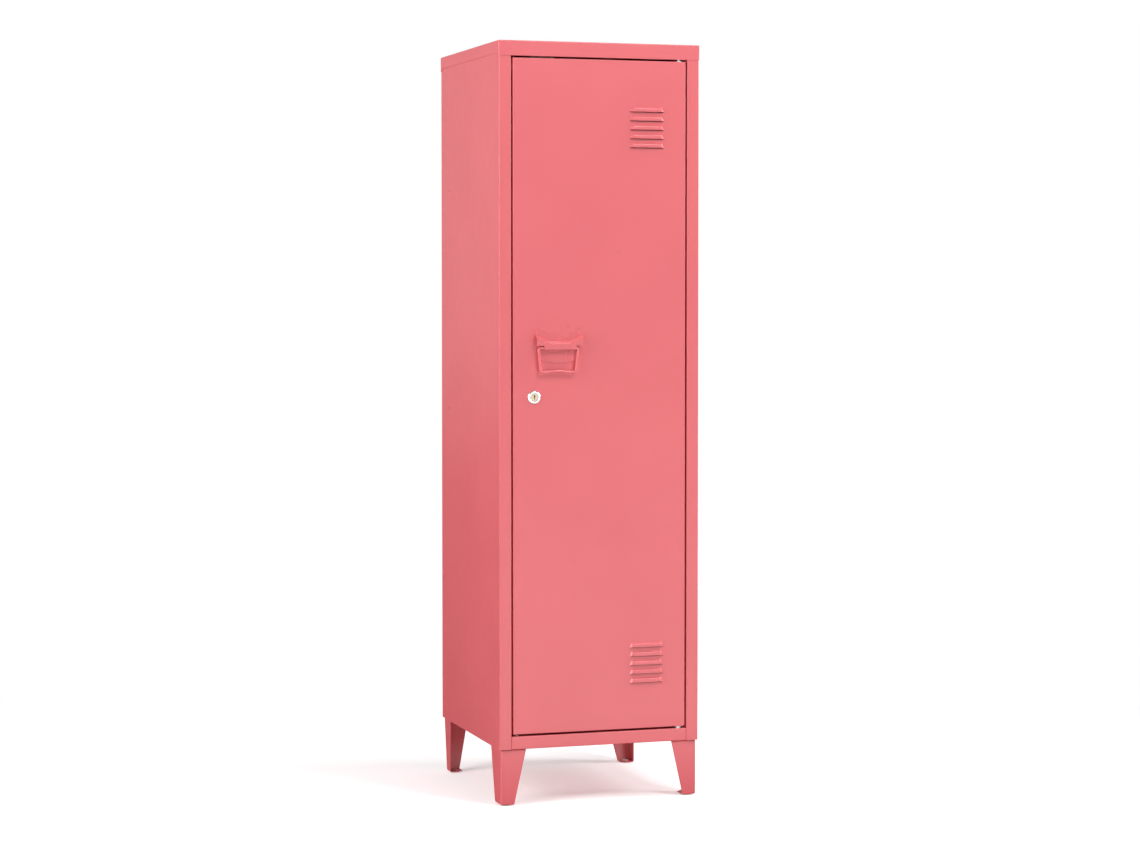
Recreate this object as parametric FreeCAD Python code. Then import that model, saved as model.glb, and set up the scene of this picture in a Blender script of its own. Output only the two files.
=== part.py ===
import FreeCAD, Part
import math
import os

from FreeCAD import Vector

# Single-door steel locker cabinet on four folded sheet legs.
# Millimetres, +Z up, front faces -Y. The origin is the centre of the footprint on the floor.

# ---- overall sizes ----
LID_WIDTH = 380.0
LID_DEPTH = 400.0
HEIGHT = 1370.0
LEG_HEIGHT = 102.0
LID_OVERHANG = 1.0

# ---- sheet ----
SHEET = 0.8
BEND = 0.8
LEG_SHEET = 1.5
HANDLE_SHEET = 1.2

# ---- lid ----
LID_SKIRT = 27.0
LID_SIDE_SKIRT = 22.0
LID_CORNER_WRAP = 12.0
LID_EDGE_RADIUS = 2.0
LID_RETURN_DEPTH = 31.0

# ---- body ----
POST_WIDTH = 22.5
JAMB_STIFFENER = 11.0
STOP_LIP = 12.0
REAR_FLANGE = 18.0
SILL_HEIGHT = 23.0
TRAY_RETURN = 25.0
JOINT_GAP = 0.7
BACK_PANEL_PLAY = 0.2

# ---- door ----
DOOR_SIDE_GAP = 3.1
DOOR_TOP_GAP = 3.5
DOOR_BOTTOM_GAP = 3.8
DOOR_THICKNESS = 18.0
DOOR_LIP = 12.0
DOOR_EDGE_RADIUS = 1.6
DOOR_STOP_GAP = 1.0
STIFFENER_WIDTH = 50.0
STIFFENER_DEPTH = 12.0
STIFFENER_FLANGE = 9.0
STIFFENER_END_GAP = 14.0

# ---- hinge pins ----
PIN_RADIUS = 2.5
PIN_RUNNING_CLEARANCE = 0.05
PIN_SETBACK = 7.0
PIN_FROM_DOOR_EDGE = 11.4
PIN_ENGAGEMENT = 11.0
PIN_HEAD_RADIUS = 5.0
PIN_HEAD_THICKNESS = 1.5
BUSH_WALL = 1.6
BUSH_FLANGE_RADIUS = 6.0
BUSH_TOP_FLANGE = 1.0
THRUST_GAP = 0.3

# ---- louvres ----
LOUVRES_PER_GROUP = 5
LOUVRE_PITCH = 16.1
LOUVRE_WIDTH = 66.0
LOUVRE_HEIGHT = 10.0
LOUVRE_SLIT = 1.2
LOUVRE_PROUD = 3.4
LOUVRE_WALL_SPREAD = 3.0
LOUVRE_END_SLANT = 5.0
LOUVRE_ROUNDING = 3.0
LOUVRE_FROM_HINGE_EDGE = 74.3
LOUVRE_FROM_DOOR_END = 83.0

# ---- handle ----
HANDLE_FROM_LATCH_EDGE = 85.9
HANDLE_ABOVE_LOCK = 95.7
PLATE_HALF_WIDTH = 45.0
PLATE_HALF_HEIGHT = 34.2
PLATE_SHOULDER_X = 40.0
PLATE_SHOULDER_Z = 27.0
PLATE_STRAIGHT_Z = 14.0
PLATE_CORNER_BULGE_X = 1.0
PLATE_CORNER_BULGE_Z = 1.2
HOOD_STANDOFF = 10.0
HOOD_HALF_WIDTH = 44.5
HOOD_VALLEY_HALF_WIDTH = 18.3
HOOD_VALLEY_Z = 1.0
HOOD_EAR_TOP_Z = 13.0
HOOD_EAR_BOTTOM_Z = -3.0
HOOD_SLOPE = 4.0
HOOD_EDGE_RADIUS = 1.6
TAB_HALF_WIDTH = 30.0
BAIL_AXIS_Z = -7.5
BAIL_WIRE_RADIUS = 2.5
BAIL_RUNNING_CLEARANCE = 0.06
BAIL_TOP_HALF_WIDTH = 37.3
BAIL_BOTTOM_HALF_WIDTH = 32.9
BAIL_DROP = 44.0
BAIL_RISE = 3.0
BAIL_TOP_CORNER = 4.0
BAIL_BOTTOM_CORNER = 5.5
BAIL_MIDDLE_BEND = 30.0
BAIL_SIDE_PLAY = 3.0
BAIL_BUTT_GAP = 1.0
CURL_OVERRUN_DEG = 45.0
HANDLE_RIVET_X = 37.0
HANDLE_RIVET_Z = 5.0

# ---- cam lock ----
LOCK_FROM_LATCH_EDGE = 39.4
BEZEL_RADIUS = 11.75
BEZEL_PROUD = 2.5
BEZEL_CHAMFER = 1.4
LOCK_BODY_RADIUS = 9.4
PLUG_RADIUS = 7.7
PLUG_RUNNING_CLEARANCE = 0.05
PLUG_RECESS = 0.4
KEYHOLE_HEIGHT = 8.0
KEYHOLE_WIDTH = 1.6
KEYHOLE_UPPER_WIDTH = 2.8
KEYHOLE_DEPTH = 9.0
LOCK_NUT_ACROSS = 24.0
LOCK_NUT_THICKNESS = 4.0
LOCK_WASHER_RADIUS = 13.0
LOCK_WASHER_THICKNESS = 1.0
CAM_CLEARANCE = 0.6
CAM_THICKNESS = 2.0
CAM_WIDTH = 15.0
CAM_OVERLAP = 7.0
CAM_HUB_HALF = 4.0
CAM_TIP_TAPER = 1.5
CAM_HUB_ROUNDING = 6.0
CAM_TIP_ROUNDING = 3.0
CAM_SCREW_HEAD_RADIUS = 6.4
CAM_SCREW_REACH = 5.0
CAM_SCREW_HOLE_REACH = 6.0

# ---- interior ----
RAIL_WIDTH = 20.0
RAIL_DEPTH = 6.0
RAIL_FROM_DOOR_BACK = 42.0
RAIL_FROM_BACK = 38.0
RAIL_END_GAP = 12.0
SLOT_PITCH = 50.0
SLOT_HEIGHT = 12.0
SLOT_WIDTH = 4.0
SHELF_SLOT_NUMBERS = {"lower": 5, "middle": 11, "upper": 17}
SHELF_EDGE = 18.0
SHELF_SIDE_PLAY = 1.0
SHELF_FROM_DOOR_BACK = 27.0
SHELF_BACK_PLAY = 3.0
SHELF_HEM = 9.0
SHELF_EDGE_RADIUS = 1.6
CLIP_THICKNESS = 2.0
CLIP_TAB_LENGTH = 11.0
CLIP_TAB_WIDTH = 14.0
CLIP_PLAY = 0.3
CLIP_TONGUE_REACH = 2.5

# ---- catch and bumpers ----
CATCH_FROM_LATCH_EDGE = 60.0
CATCH_LENGTH = 46.0
CATCH_HEIGHT = 13.0
CATCH_DEPTH = 15.0
CATCH_GAP = 0.4
CATCH_FACE_SETBACK = 0.5
CATCH_EDGE_RADIUS = 1.5
STRIKER_LENGTH = 30.0
STRIKER_HEIGHT = 10.0
STRIKER_THICKNESS = 1.2
MAGNET_LENGTH = 26.0
MAGNET_HEIGHT = 6.0
MAGNET_DEPTH = 9.0
BUFFER_RADIUS = 5.0
BUFFER_FROM_DOOR_END = 120.0
BUFFER_CLEARANCE = 0.3
DOOR_REST_FROM_LATCH_EDGE = 8.3
DOOR_REST_RADIUS = 3.0
DOOR_REST_HEIGHT = 2.0

# ---- legs ----
LEG_INSET = 3.0
LEG_TOP_WIDTH = 47.5
LEG_FOOT_WIDTH = 25.0
FRONT_LEG_TOP_DEPTH = 64.0
FRONT_LEG_FOOT_DEPTH = 38.0
REAR_LEG_TOP_DEPTH = 44.5
REAR_LEG_FOOT_DEPTH = 27.5
LEG_OUTER_RADIUS = 3.0
FOOT_NOTCH = 7.0
GLIDE_HOLE_RADIUS = 5.0
GLIDE_PAD_RADIUS = 8.5
GLIDE_PAD = 1.5
GLIDE_PAD_CHAMFER = 0.5
GLIDE_CAP_RADIUS = 6.5
GLIDE_CAP = 1.8
GLIDE_FROM_CORNER = 13.0

# ---- rivets and screws ----
RIVET_RADIUS = 2.0
RIVET_HEAD_RADIUS = 3.6
RIVET_HEAD = 0.9
RIVET_TAIL_RADIUS = 2.9
RIVET_TAIL = 1.6
BACK_RIVETS_PER_SIDE = 5
BACK_RIVET_END_MARGIN = 55.0
SCREW_RADIUS = 2.5
SCREW_HEAD_RADIUS = 4.6
SCREW_HEAD = 2.4
SCREW_RECESS_RADIUS = 1.9
SCREW_RECESS_DEPTH = 1.3
LEG_SCREW_LENGTH = 9.0
LEG_SCREW_FROM_EDGE = 12.0
CATCH_SCREW_RADIUS = 1.7
CATCH_SCREW_HEAD_RADIUS = 3.4
CATCH_SCREW_HEAD = 1.7
WALL_HOLE_RADIUS = 3.5
WALL_HOLE_SPACING = 240.0
WALL_HOLE_FROM_TOP = 80.0

# ---- places that follow from the sizes above ----
HANDLE_PROUD = HOOD_STANDOFF - LID_OVERHANG
LID_FRONT = HANDLE_PROUD - (LID_DEPTH + HANDLE_PROUD) / 2
LID_REAR = LID_FRONT + LID_DEPTH
FRONT = LID_FRONT + LID_OVERHANG
REAR = LID_REAR - LID_OVERHANG
BODY_HALF = LID_WIDTH / 2 - LID_OVERHANG
BODY_BOTTOM = LEG_HEIGHT
ROOF = HEIGHT - SHEET
LID_LIP_Z = HEIGHT - LID_SKIRT
FLOOR_Z = BODY_BOTTOM + SILL_HEIGHT
OPENING_HALF = BODY_HALF - POST_WIDTH
WALL_INNER = BODY_HALF - SHEET

DOOR_LEFT = -OPENING_HALF + DOOR_SIDE_GAP
DOOR_RIGHT = OPENING_HALF - DOOR_SIDE_GAP
DOOR_BOTTOM = FLOOR_Z + DOOR_BOTTOM_GAP
DOOR_TOP = LID_LIP_Z - DOOR_TOP_GAP
DOOR_BACK = FRONT + DOOR_THICKNESS
DOOR_MIDDLE_Z = (DOOR_TOP + DOOR_BOTTOM) / 2
BUSH_BOTTOM_FLANGE = DOOR_BOTTOM_GAP - PIN_HEAD_THICKNESS - THRUST_GAP
PIVOT_X = DOOR_RIGHT - PIN_FROM_DOOR_EDGE
PIVOT_Y = FRONT + PIN_SETBACK
JAMB_BACK = DOOR_BACK + DOOR_STOP_GAP + SHEET

LOCK_X = DOOR_LEFT + LOCK_FROM_LATCH_EDGE
LOCK_Z = DOOR_MIDDLE_Z
HANDLE_X = DOOR_LEFT + HANDLE_FROM_LATCH_EDGE
HANDLE_Z = LOCK_Z + HANDLE_ABOVE_LOCK
BAIL_X = HANDLE_X - BAIL_SIDE_PLAY
BAIL_Z = HANDLE_Z + BAIL_AXIS_Z
CURL_INNER = BAIL_WIRE_RADIUS + BAIL_RUNNING_CLEARANCE
CURL_OUTER = CURL_INNER + HANDLE_SHEET
BAIL_Y = FRONT - HOOD_STANDOFF + CURL_OUTER

BACK_PANEL_REAR = REAR - SHEET
BACK_PANEL_FRONT = BACK_PANEL_REAR - SHEET
RAIL_INNER = WALL_INNER - RAIL_DEPTH
RAIL_BOTTOM = FLOOR_Z + RAIL_END_GAP
RAIL_TOP = LID_LIP_Z - RAIL_END_GAP
RAIL_Y = {"front": DOOR_BACK + RAIL_FROM_DOOR_BACK, "rear": BACK_PANEL_FRONT - RAIL_FROM_BACK}
FIRST_SLOT_Z = RAIL_BOTTOM + SLOT_PITCH / 2
CAM_FRONT = JAMB_BACK + CAM_CLEARANCE
CAM_LENGTH = LOCK_X + OPENING_HALF - STOP_LIP + CAM_OVERLAP
TRAY_WING_FRONT = JAMB_BACK + JOINT_GAP

X_AXIS = Vector(1, 0, 0)
Y_AXIS = Vector(0, 1, 0)
Z_AXIS = Vector(0, 0, 1)
DIRECTIONS = {"x": X_AXIS, "y": Y_AXIS, "z": Z_AXIS}


# ---- shared shape helpers ----
def block(x0, x1, y0, y1, z0, z1):
    """A plain block between two values on each axis, in either order."""
    low = Vector(min(x0, x1), min(y0, y1), min(z0, z1))
    return Part.makeBox(abs(x1 - x0), abs(y1 - y0), abs(z1 - z0), low)


def rod(radius, length, base, direction):
    return Part.makeCylinder(radius, length, base, direction)


def in_space(axis, level, a, b):
    """Place a profile point (a, b) on the plane across the named axis."""
    if axis == "x":
        return Vector(level, a, b)
    if axis == "y":
        return Vector(a, level, b)
    return Vector(a, b, level)


def rounded_edges(points, radii, closed):
    """Straight runs through the points, with a tangent arc at each corner that has a radius."""
    count = len(points)
    stops = []
    for i, at in enumerate(points):
        is_end = not closed and i in (0, count - 1)
        if is_end or radii[i] <= 0:
            stops.append((at, None, at))
            continue
        to_last = (points[i - 1] - at).normalize()
        to_next = (points[(i + 1) % count] - at).normalize()
        half_angle = to_last.getAngle(to_next) / 2
        reach = radii[i] / math.tan(half_angle)
        inward = (to_last + to_next).normalize()
        middle = at + inward * (radii[i] / math.sin(half_angle) - radii[i])
        stops.append((at + to_last * reach, middle, at + to_next * reach))
    edges = []
    for i, (start, middle, end) in enumerate(stops):
        if middle is not None:
            edges.append(Part.Arc(start, middle, end).toShape())
        if closed or i < count - 1:
            following = stops[(i + 1) % count][0]
            if end.distanceToPoint(following) > 1e-6:
                edges.append(Part.LineSegment(end, following).toShape())
    return edges


def prism(profile, radii, axis, start, end):
    """A closed profile across the named axis, run from start to end along it."""
    points = [in_space(axis, start, a, b) for a, b in profile]
    face = Part.Face(Part.Wire(rounded_edges(points, radii, True)))
    return face.extrude(DIRECTIONS[axis] * (end - start))


def beside(points, distance):
    """The open line of points moved sideways, keeping its corners."""
    normals = []
    for (a0, b0), (a1, b1) in zip(points, points[1:]):
        length = math.hypot(a1 - a0, b1 - b0)
        normals.append(((b0 - b1) / length, (a1 - a0) / length))
    moved = []
    for i, (a, b) in enumerate(points):
        na, nb = normals[max(i - 1, 0)]
        ma, mb = normals[min(i, len(normals) - 1)]
        spread = distance / (1 + na * ma + nb * mb)
        moved.append((a + (na + ma) * spread, b + (nb + mb) * spread))
    return moved


def turns_left(points, i):
    (a0, b0), (a1, b1), (a2, b2) = points[i - 1], points[i], points[i + 1]
    return (a1 - a0) * (b2 - b1) - (b1 - b0) * (a2 - a1) > 0


def folded(middle_line, thickness, axis, start, end):
    """A bent sheet: its middle line is a polyline, and every bend has the common inner radius."""
    last = len(middle_line) - 1
    left_radii = [0.0] * (last + 1)
    right_radii = [0.0] * (last + 1)
    for i in range(1, last):
        inner, outer = BEND, BEND + thickness
        is_left = turns_left(middle_line, i)
        left_radii[i] = inner if is_left else outer
        right_radii[i] = outer if is_left else inner
    left = beside(middle_line, thickness / 2)
    right = beside(middle_line, -thickness / 2)
    return prism(left + right[::-1], left_radii + right_radii[::-1], axis, start, end)


def fillet_where(shape, radius, test):
    """Round the straight edges whose two ends both pass the test."""
    edges = [e for e in shape.Edges if len(e.Vertexes) == 2 and all(test(v.Point) for v in e.Vertexes)]
    return shape.makeFillet(radius, edges)


def near(value, target):
    return abs(value - target) < 0.01


def hex_prism(across, length, centre):
    """A hexagonal prism that runs back from its centre, two flats level with the floor."""
    reach = across / math.sqrt(3)
    turns = [math.radians(60 * k) for k in range(6)]
    profile = [(centre.x + reach * math.cos(turn), centre.z + reach * math.sin(turn)) for turn in turns]
    return prism(profile, [0.0] * 6, "y", centre.y, centre.y + length)


def pan_screw(head_seat, direction, radius, length, head_radius, head):
    """A pan-head screw: the shank runs along direction from the head's seat."""
    shank = rod(radius, length, head_seat, direction)
    disc = rod(head_radius, head, head_seat, -direction)
    crown = head_seat - direction * head
    rim = [e for e in disc.Edges if near((e.CenterOfMass - crown).dot(direction), 0) and len(e.Vertexes) == 1]
    disc = disc.makeFillet(head * 0.55, rim)
    share = head / SCREW_HEAD
    recess = rod(SCREW_RECESS_RADIUS * share, SCREW_RECESS_DEPTH * share, crown, direction)
    return shank.fuse(disc).cut(recess)


def rivet(seat, direction, stack):
    """A pop rivet through a stack of sheets: its head sits on seat, its tail is upset behind them."""
    shank = rod(RIVET_RADIUS, stack, seat, direction)
    head = rod(RIVET_HEAD_RADIUS, RIVET_HEAD, seat - direction * RIVET_HEAD, direction)
    rim = [e for e in head.Edges if len(e.Vertexes) == 1
           and near((e.CenterOfMass - seat).dot(direction), -RIVET_HEAD)]
    head = head.makeFillet(RIVET_HEAD * 0.7, rim)
    tail = rod(RIVET_TAIL_RADIUS, RIVET_TAIL, seat + direction * stack, direction)
    return shank.fuse([head, tail]).removeSplitter()


def mirrored(shape):
    """The same piece on the other side of the cabinet's middle plane."""
    return shape.mirror(Vector(0, 0, 0), X_AXIS)


# ---- body sheets ----
def side_panel(is_latch_side):
    """Side wall with its folded front post, door jamb and rear flange, made for the left side."""
    half = SHEET / 2
    jamb_x = -OPENING_HALF - half
    wall_x = -BODY_HALF + half
    jamb_back = JAMB_BACK - half
    fold_x = -OPENING_HALF + STOP_LIP if is_latch_side else -OPENING_HALF - JAMB_STIFFENER
    line = [
        (fold_x, jamb_back),
        (jamb_x, jamb_back),
        (jamb_x, FRONT + half),
        (wall_x, FRONT + half),
        (wall_x, REAR - half),
        (wall_x + REAR_FLANGE - half, REAR - half),
    ]
    panel = folded(line, SHEET, "z", BODY_BOTTOM, ROOF)
    if is_latch_side:
        lip_from = -OPENING_HALF - SHEET
        lip_to = -OPENING_HALF + STOP_LIP + 1
        for low, high in ((BODY_BOTTOM - 1, FLOOR_Z + JOINT_GAP), (LID_LIP_Z - JOINT_GAP, ROOF + 1)):
            panel = panel.cut(block(lip_from, lip_to, JAMB_BACK - SHEET - BEND, JAMB_BACK + 1, low, high))
    return panel


def back_rivet_heights():
    low = BODY_BOTTOM + BACK_RIVET_END_MARGIN
    step = (LID_LIP_Z - BACK_RIVET_END_MARGIN - low) / (BACK_RIVETS_PER_SIDE - 1)
    return [low + step * k for k in range(BACK_RIVETS_PER_SIDE)]


def back_rivet_places():
    x = BODY_HALF - REAR_FLANGE / 2
    return [Vector(side * x, REAR, z) for side in (-1, 1) for z in back_rivet_heights()]


def drilled_for_back_rivets(shape):
    for place in back_rivet_places():
        shape = shape.cut(rod(RIVET_RADIUS, 3 * SHEET, place + Y_AXIS * SHEET / 2, -Y_AXIS))
    return shape


def back_panel():
    edge = WALL_INNER - BEND - BACK_PANEL_PLAY
    panel = block(-edge, edge, BACK_PANEL_FRONT, BACK_PANEL_REAR, BODY_BOTTOM, ROOF - BACK_PANEL_PLAY)
    for side in (-1, 1):
        place = Vector(side * WALL_HOLE_SPACING / 2, BACK_PANEL_FRONT - 1, HEIGHT - WALL_HOLE_FROM_TOP)
        panel = panel.cut(rod(WALL_HOLE_RADIUS, SHEET + 2, place, Y_AXIS))
    return drilled_for_back_rivets(panel)


def top_lid():
    half = LID_WIDTH / 2
    outer = block(-half, half, LID_FRONT, LID_REAR, LID_LIP_Z, HEIGHT)
    is_skirt_corner = lambda e: near(e.Length, LID_SKIRT)
    is_top_edge = lambda e: all(near(v.Point.z, HEIGHT) for v in e.Vertexes)
    rounded = [e for e in outer.Edges if is_skirt_corner(e) or is_top_edge(e)]
    outer = outer.makeFillet(LID_EDGE_RADIUS, rounded)
    inner = block(-half + SHEET, half - SHEET, LID_FRONT + SHEET, LID_REAR - SHEET, LID_LIP_Z - 1, ROOF)
    corners = [e for e in inner.Edges if near(e.Length, ROOF - LID_LIP_Z + 1)]
    lid = outer.cut(inner.makeFillet(LID_EDGE_RADIUS - SHEET, corners))
    for side in (-1, 1):
        lid = lid.cut(block(side * (half - LID_EDGE_RADIUS), side * (half + 1), LID_FRONT + LID_CORNER_WRAP,
                            LID_REAR - LID_CORNER_WRAP, LID_LIP_Z - 1, HEIGHT - LID_SIDE_SKIRT))
    lip_half = OPENING_HALF - JOINT_GAP
    lip = block(-lip_half, lip_half, LID_FRONT + SHEET / 2, LID_FRONT + LID_RETURN_DEPTH,
                LID_LIP_Z, LID_LIP_Z + SHEET)
    hole = rod(PIN_RADIUS, 3 * SHEET, Vector(PIVOT_X, PIVOT_Y, LID_LIP_Z - SHEET), Z_AXIS)
    lid = lid.fuse(lip).cut(hole).removeSplitter()
    for place in catch_screw_places():
        lid = lid.cut(rod(CATCH_SCREW_RADIUS, 3 * SHEET, place + Z_AXIS * 2 * SHEET, -Z_AXIS))
    return lid


def bottom_tray():
    """Floor with the sill in front, folded down and back in on all sides to carry the legs."""
    half = SHEET / 2
    low, high = BODY_BOTTOM + half, FLOOR_Z - half
    rear = BACK_PANEL_FRONT - half
    front_to_back = [
        (FRONT + TRAY_RETURN, low),
        (FRONT + half, low),
        (FRONT + half, high),
        (rear, high),
        (rear, low),
        (rear - TRAY_RETURN, low),
    ]
    reach = OPENING_HALF - JOINT_GAP
    tray = folded(front_to_back, SHEET, "x", -reach, reach)
    outer = WALL_INNER - half
    wing = folded([(-outer + TRAY_RETURN, low), (-outer, low), (-outer, high), (-reach + 1, high)],
                  SHEET, "y", TRAY_WING_FRONT, rear - SHEET)
    tray = tray.fuse([wing, mirrored(wing)])
    tray = tray.cut(rod(PIN_RADIUS, 3 * SHEET, Vector(PIVOT_X, PIVOT_Y, FLOOR_Z + SHEET), -Z_AXIS))
    for place in leg_screw_places():
        tray = tray.cut(rod(SCREW_RADIUS, 3 * SHEET, place, Z_AXIS))
    return tray.removeSplitter()


# ---- door ----
def louvre_hump(inset, behind, low):
    """One pressed louvre as a solid hump on the door face, from low up, open downwards.

    Its walls lean in by LOUVRE_WALL_SPREAD over its depth. The inset is measured square to its walls.
    """
    proud = LOUVRE_PROUD - inset
    lean = LOUVRE_WALL_SPREAD / LOUVRE_PROUD
    slant = LOUVRE_END_SLANT / LOUVRE_HEIGHT
    loops = []
    for depth in (behind, -proud):
        shrink = inset * math.hypot(1, lean) - depth * lean
        top = LOUVRE_HEIGHT - shrink
        half_at_zero = LOUVRE_WIDTH / 2 - shrink * math.hypot(1, slant)
        outline = [(1, low), (1, top), (-1, top), (-1, low)]
        points = [Vector(side * (half_at_zero - z * slant), depth, z) for side, z in outline]
        loops.append(Part.makePolygon(points + points[:1]))
    hump = Part.makeLoft(loops, True, True)
    is_behind = lambda p: near(p.y, behind)
    is_low = lambda p: near(p.z, low)
    ridges = [e for e in hump.Edges if not all(is_behind(v.Point) for v in e.Vertexes)
              and not all(is_low(v.Point) for v in e.Vertexes)]
    return hump.makeFillet(LOUVRE_ROUNDING - inset, ridges)


def louvre_places():
    x = DOOR_RIGHT - LOUVRE_FROM_HINGE_EDGE
    stack = (LOUVRES_PER_GROUP - 1) * LOUVRE_PITCH + LOUVRE_HEIGHT
    for lowest in (DOOR_BOTTOM + LOUVRE_FROM_DOOR_END, DOOR_TOP - LOUVRE_FROM_DOOR_END - stack):
        for k in range(LOUVRES_PER_GROUP):
            yield Vector(x, FRONT, lowest + k * LOUVRE_PITCH)


def door_skin():
    outer = block(DOOR_LEFT, DOOR_RIGHT, FRONT, DOOR_BACK, DOOR_BOTTOM, DOOR_TOP)
    outer = fillet_where(outer, DOOR_EDGE_RADIUS, lambda p: near(p.y, FRONT))
    left, right = DOOR_LEFT + SHEET, DOOR_RIGHT - SHEET
    bottom, top = DOOR_BOTTOM + SHEET, DOOR_TOP - SHEET
    hollow = block(left, right, FRONT + SHEET, DOOR_BACK - SHEET, bottom, top)
    hollow = fillet_where(hollow, DOOR_EDGE_RADIUS - SHEET, lambda p: near(p.y, FRONT + SHEET))
    way_in = block(DOOR_LEFT + DOOR_LIP, DOOR_RIGHT - DOOR_LIP, DOOR_BACK - 2 * SHEET, DOOR_BACK + 1,
                   DOOR_BOTTOM + DOOR_LIP, DOOR_TOP - DOOR_LIP)
    skin = outer.cut(hollow).cut(way_in)
    outer_hump, hollow_hump = louvre_hump(0.0, SHEET / 2, LOUVRE_SLIT), louvre_hump(SHEET, SHEET + 1, 0.0)
    skin = skin.fuse([outer_hump.translated(place) for place in louvre_places()])
    skin = skin.cut([hollow_hump.translated(place) for place in louvre_places()])
    bore = PIN_RADIUS + PIN_RUNNING_CLEARANCE + BUSH_WALL
    for z in (DOOR_BOTTOM - 1, DOOR_TOP - SHEET - 1):
        skin = skin.cut(rod(bore, SHEET + 2, Vector(PIVOT_X, PIVOT_Y, z), Z_AXIS))
    skin = skin.cut(rod(LOCK_BODY_RADIUS, SHEET + 2, Vector(LOCK_X, FRONT - 1, LOCK_Z), Y_AXIS))
    for place in handle_rivet_places():
        skin = skin.cut(rod(RIVET_RADIUS, SHEET + 2, place - Y_AXIS, Y_AXIS))
    return skin.removeSplitter()


def door_stiffener():
    """A hat channel welded upright behind the door face."""
    half = STIFFENER_WIDTH / 2
    back = FRONT + SHEET + SHEET / 2
    deep = back + STIFFENER_DEPTH
    line = [(-half, back), (-half + STIFFENER_FLANGE, back), (-half + STIFFENER_FLANGE, deep),
            (half - STIFFENER_FLANGE, deep), (half - STIFFENER_FLANGE, back), (half, back)]
    return folded(line, SHEET, "z", DOOR_BOTTOM + STIFFENER_END_GAP, DOOR_TOP - STIFFENER_END_GAP)


def hinge_pin(seat_z, up, has_collar):
    """A pivot pin riveted in a sheet whose door side is at seat_z, standing towards up."""
    seat = Vector(PIVOT_X, PIVOT_Y, seat_z)
    gap = DOOR_BOTTOM_GAP if has_collar else DOOR_TOP_GAP
    shank = rod(PIN_RADIUS, SHEET + gap + PIN_ENGAGEMENT, seat - up * SHEET, up)
    head = rod(PIN_HEAD_RADIUS, PIN_HEAD_THICKNESS, seat - up * SHEET, -up)
    pin = shank.fuse(head)
    if has_collar:
        pin = pin.fuse(rod(PIN_HEAD_RADIUS, PIN_HEAD_THICKNESS, seat, up))
    return pin.removeSplitter()


def hinge_bush(edge_z, up, flange):
    """A flanged sleeve pressed into the door's end fold at edge_z; up points into the door."""
    seat = Vector(PIVOT_X, PIVOT_Y, edge_z)
    bore = PIN_RADIUS + PIN_RUNNING_CLEARANCE
    sleeve = rod(bore + BUSH_WALL, PIN_ENGAGEMENT, seat, up).fuse(rod(BUSH_FLANGE_RADIUS, flange, seat, -up))
    return sleeve.cut(rod(bore, PIN_ENGAGEMENT + flange + 2, seat - up * (flange + 1), up)).removeSplitter()


# ---- handle ----
def handle_plate():
    """Backing plate with a shallow dome at the top and the bottom."""
    at = lambda a, b: Vector(HANDLE_X + a, FRONT, HANDLE_Z + b)
    bulge_x = (PLATE_SHOULDER_X + PLATE_HALF_WIDTH) / 2 + PLATE_CORNER_BULGE_X
    bulge_z = (PLATE_SHOULDER_Z + PLATE_STRAIGHT_Z) / 2 + PLATE_CORNER_BULGE_Z
    edges = []
    for s in (1, -1):
        edges.append(Part.Arc(at(-s * PLATE_SHOULDER_X, s * PLATE_SHOULDER_Z), at(0, s * PLATE_HALF_HEIGHT),
                              at(s * PLATE_SHOULDER_X, s * PLATE_SHOULDER_Z)).toShape())
        edges.append(Part.Arc(at(s * PLATE_SHOULDER_X, s * PLATE_SHOULDER_Z), at(s * bulge_x, s * bulge_z),
                              at(s * PLATE_HALF_WIDTH, s * PLATE_STRAIGHT_Z)).toShape())
        edges.append(Part.LineSegment(at(s * PLATE_HALF_WIDTH, s * PLATE_STRAIGHT_Z),
                                      at(s * PLATE_HALF_WIDTH, 0)).toShape())
        edges.append(Part.LineSegment(at(s * PLATE_HALF_WIDTH, 0),
                                      at(s * PLATE_HALF_WIDTH, -s * PLATE_STRAIGHT_Z)).toShape())
        edges.append(Part.Arc(at(s * PLATE_HALF_WIDTH, -s * PLATE_STRAIGHT_Z), at(s * bulge_x, -s * bulge_z),
                              at(s * PLATE_SHOULDER_X, -s * PLATE_SHOULDER_Z)).toShape())
    wire = Part.Wire(Part.__sortEdges__(edges))
    plate = Part.Face(wire).extrude(-Y_AXIS * HANDLE_SHEET)
    for place in handle_rivet_places():
        plate = plate.cut(rod(RIVET_RADIUS, HANDLE_SHEET + 2, place - Y_AXIS * (HANDLE_SHEET + 1), Y_AXIS))
    return plate


def hood_block(outward, half_width, valley_z, ear_z, slope, low_z):
    """The hood's volume: a bow-shaped front face that slopes back up to the plate."""
    front = [(-half_width, ear_z), (-HOOD_VALLEY_HALF_WIDTH, valley_z), (HOOD_VALLEY_HALF_WIDTH, valley_z),
             (half_width, ear_z), (half_width, low_z), (-half_width, low_z)]
    base = [(a, b + slope if b > low_z else b) for a, b in front]
    loops = []
    for off, outline in ((outward, front), (HANDLE_SHEET, base)):
        points = [Vector(HANDLE_X + a, FRONT - off, HANDLE_Z + b) for a, b in outline]
        loops.append(Part.makePolygon(points + points[:1]))
    return Part.makeLoft(loops, True, True)


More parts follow.
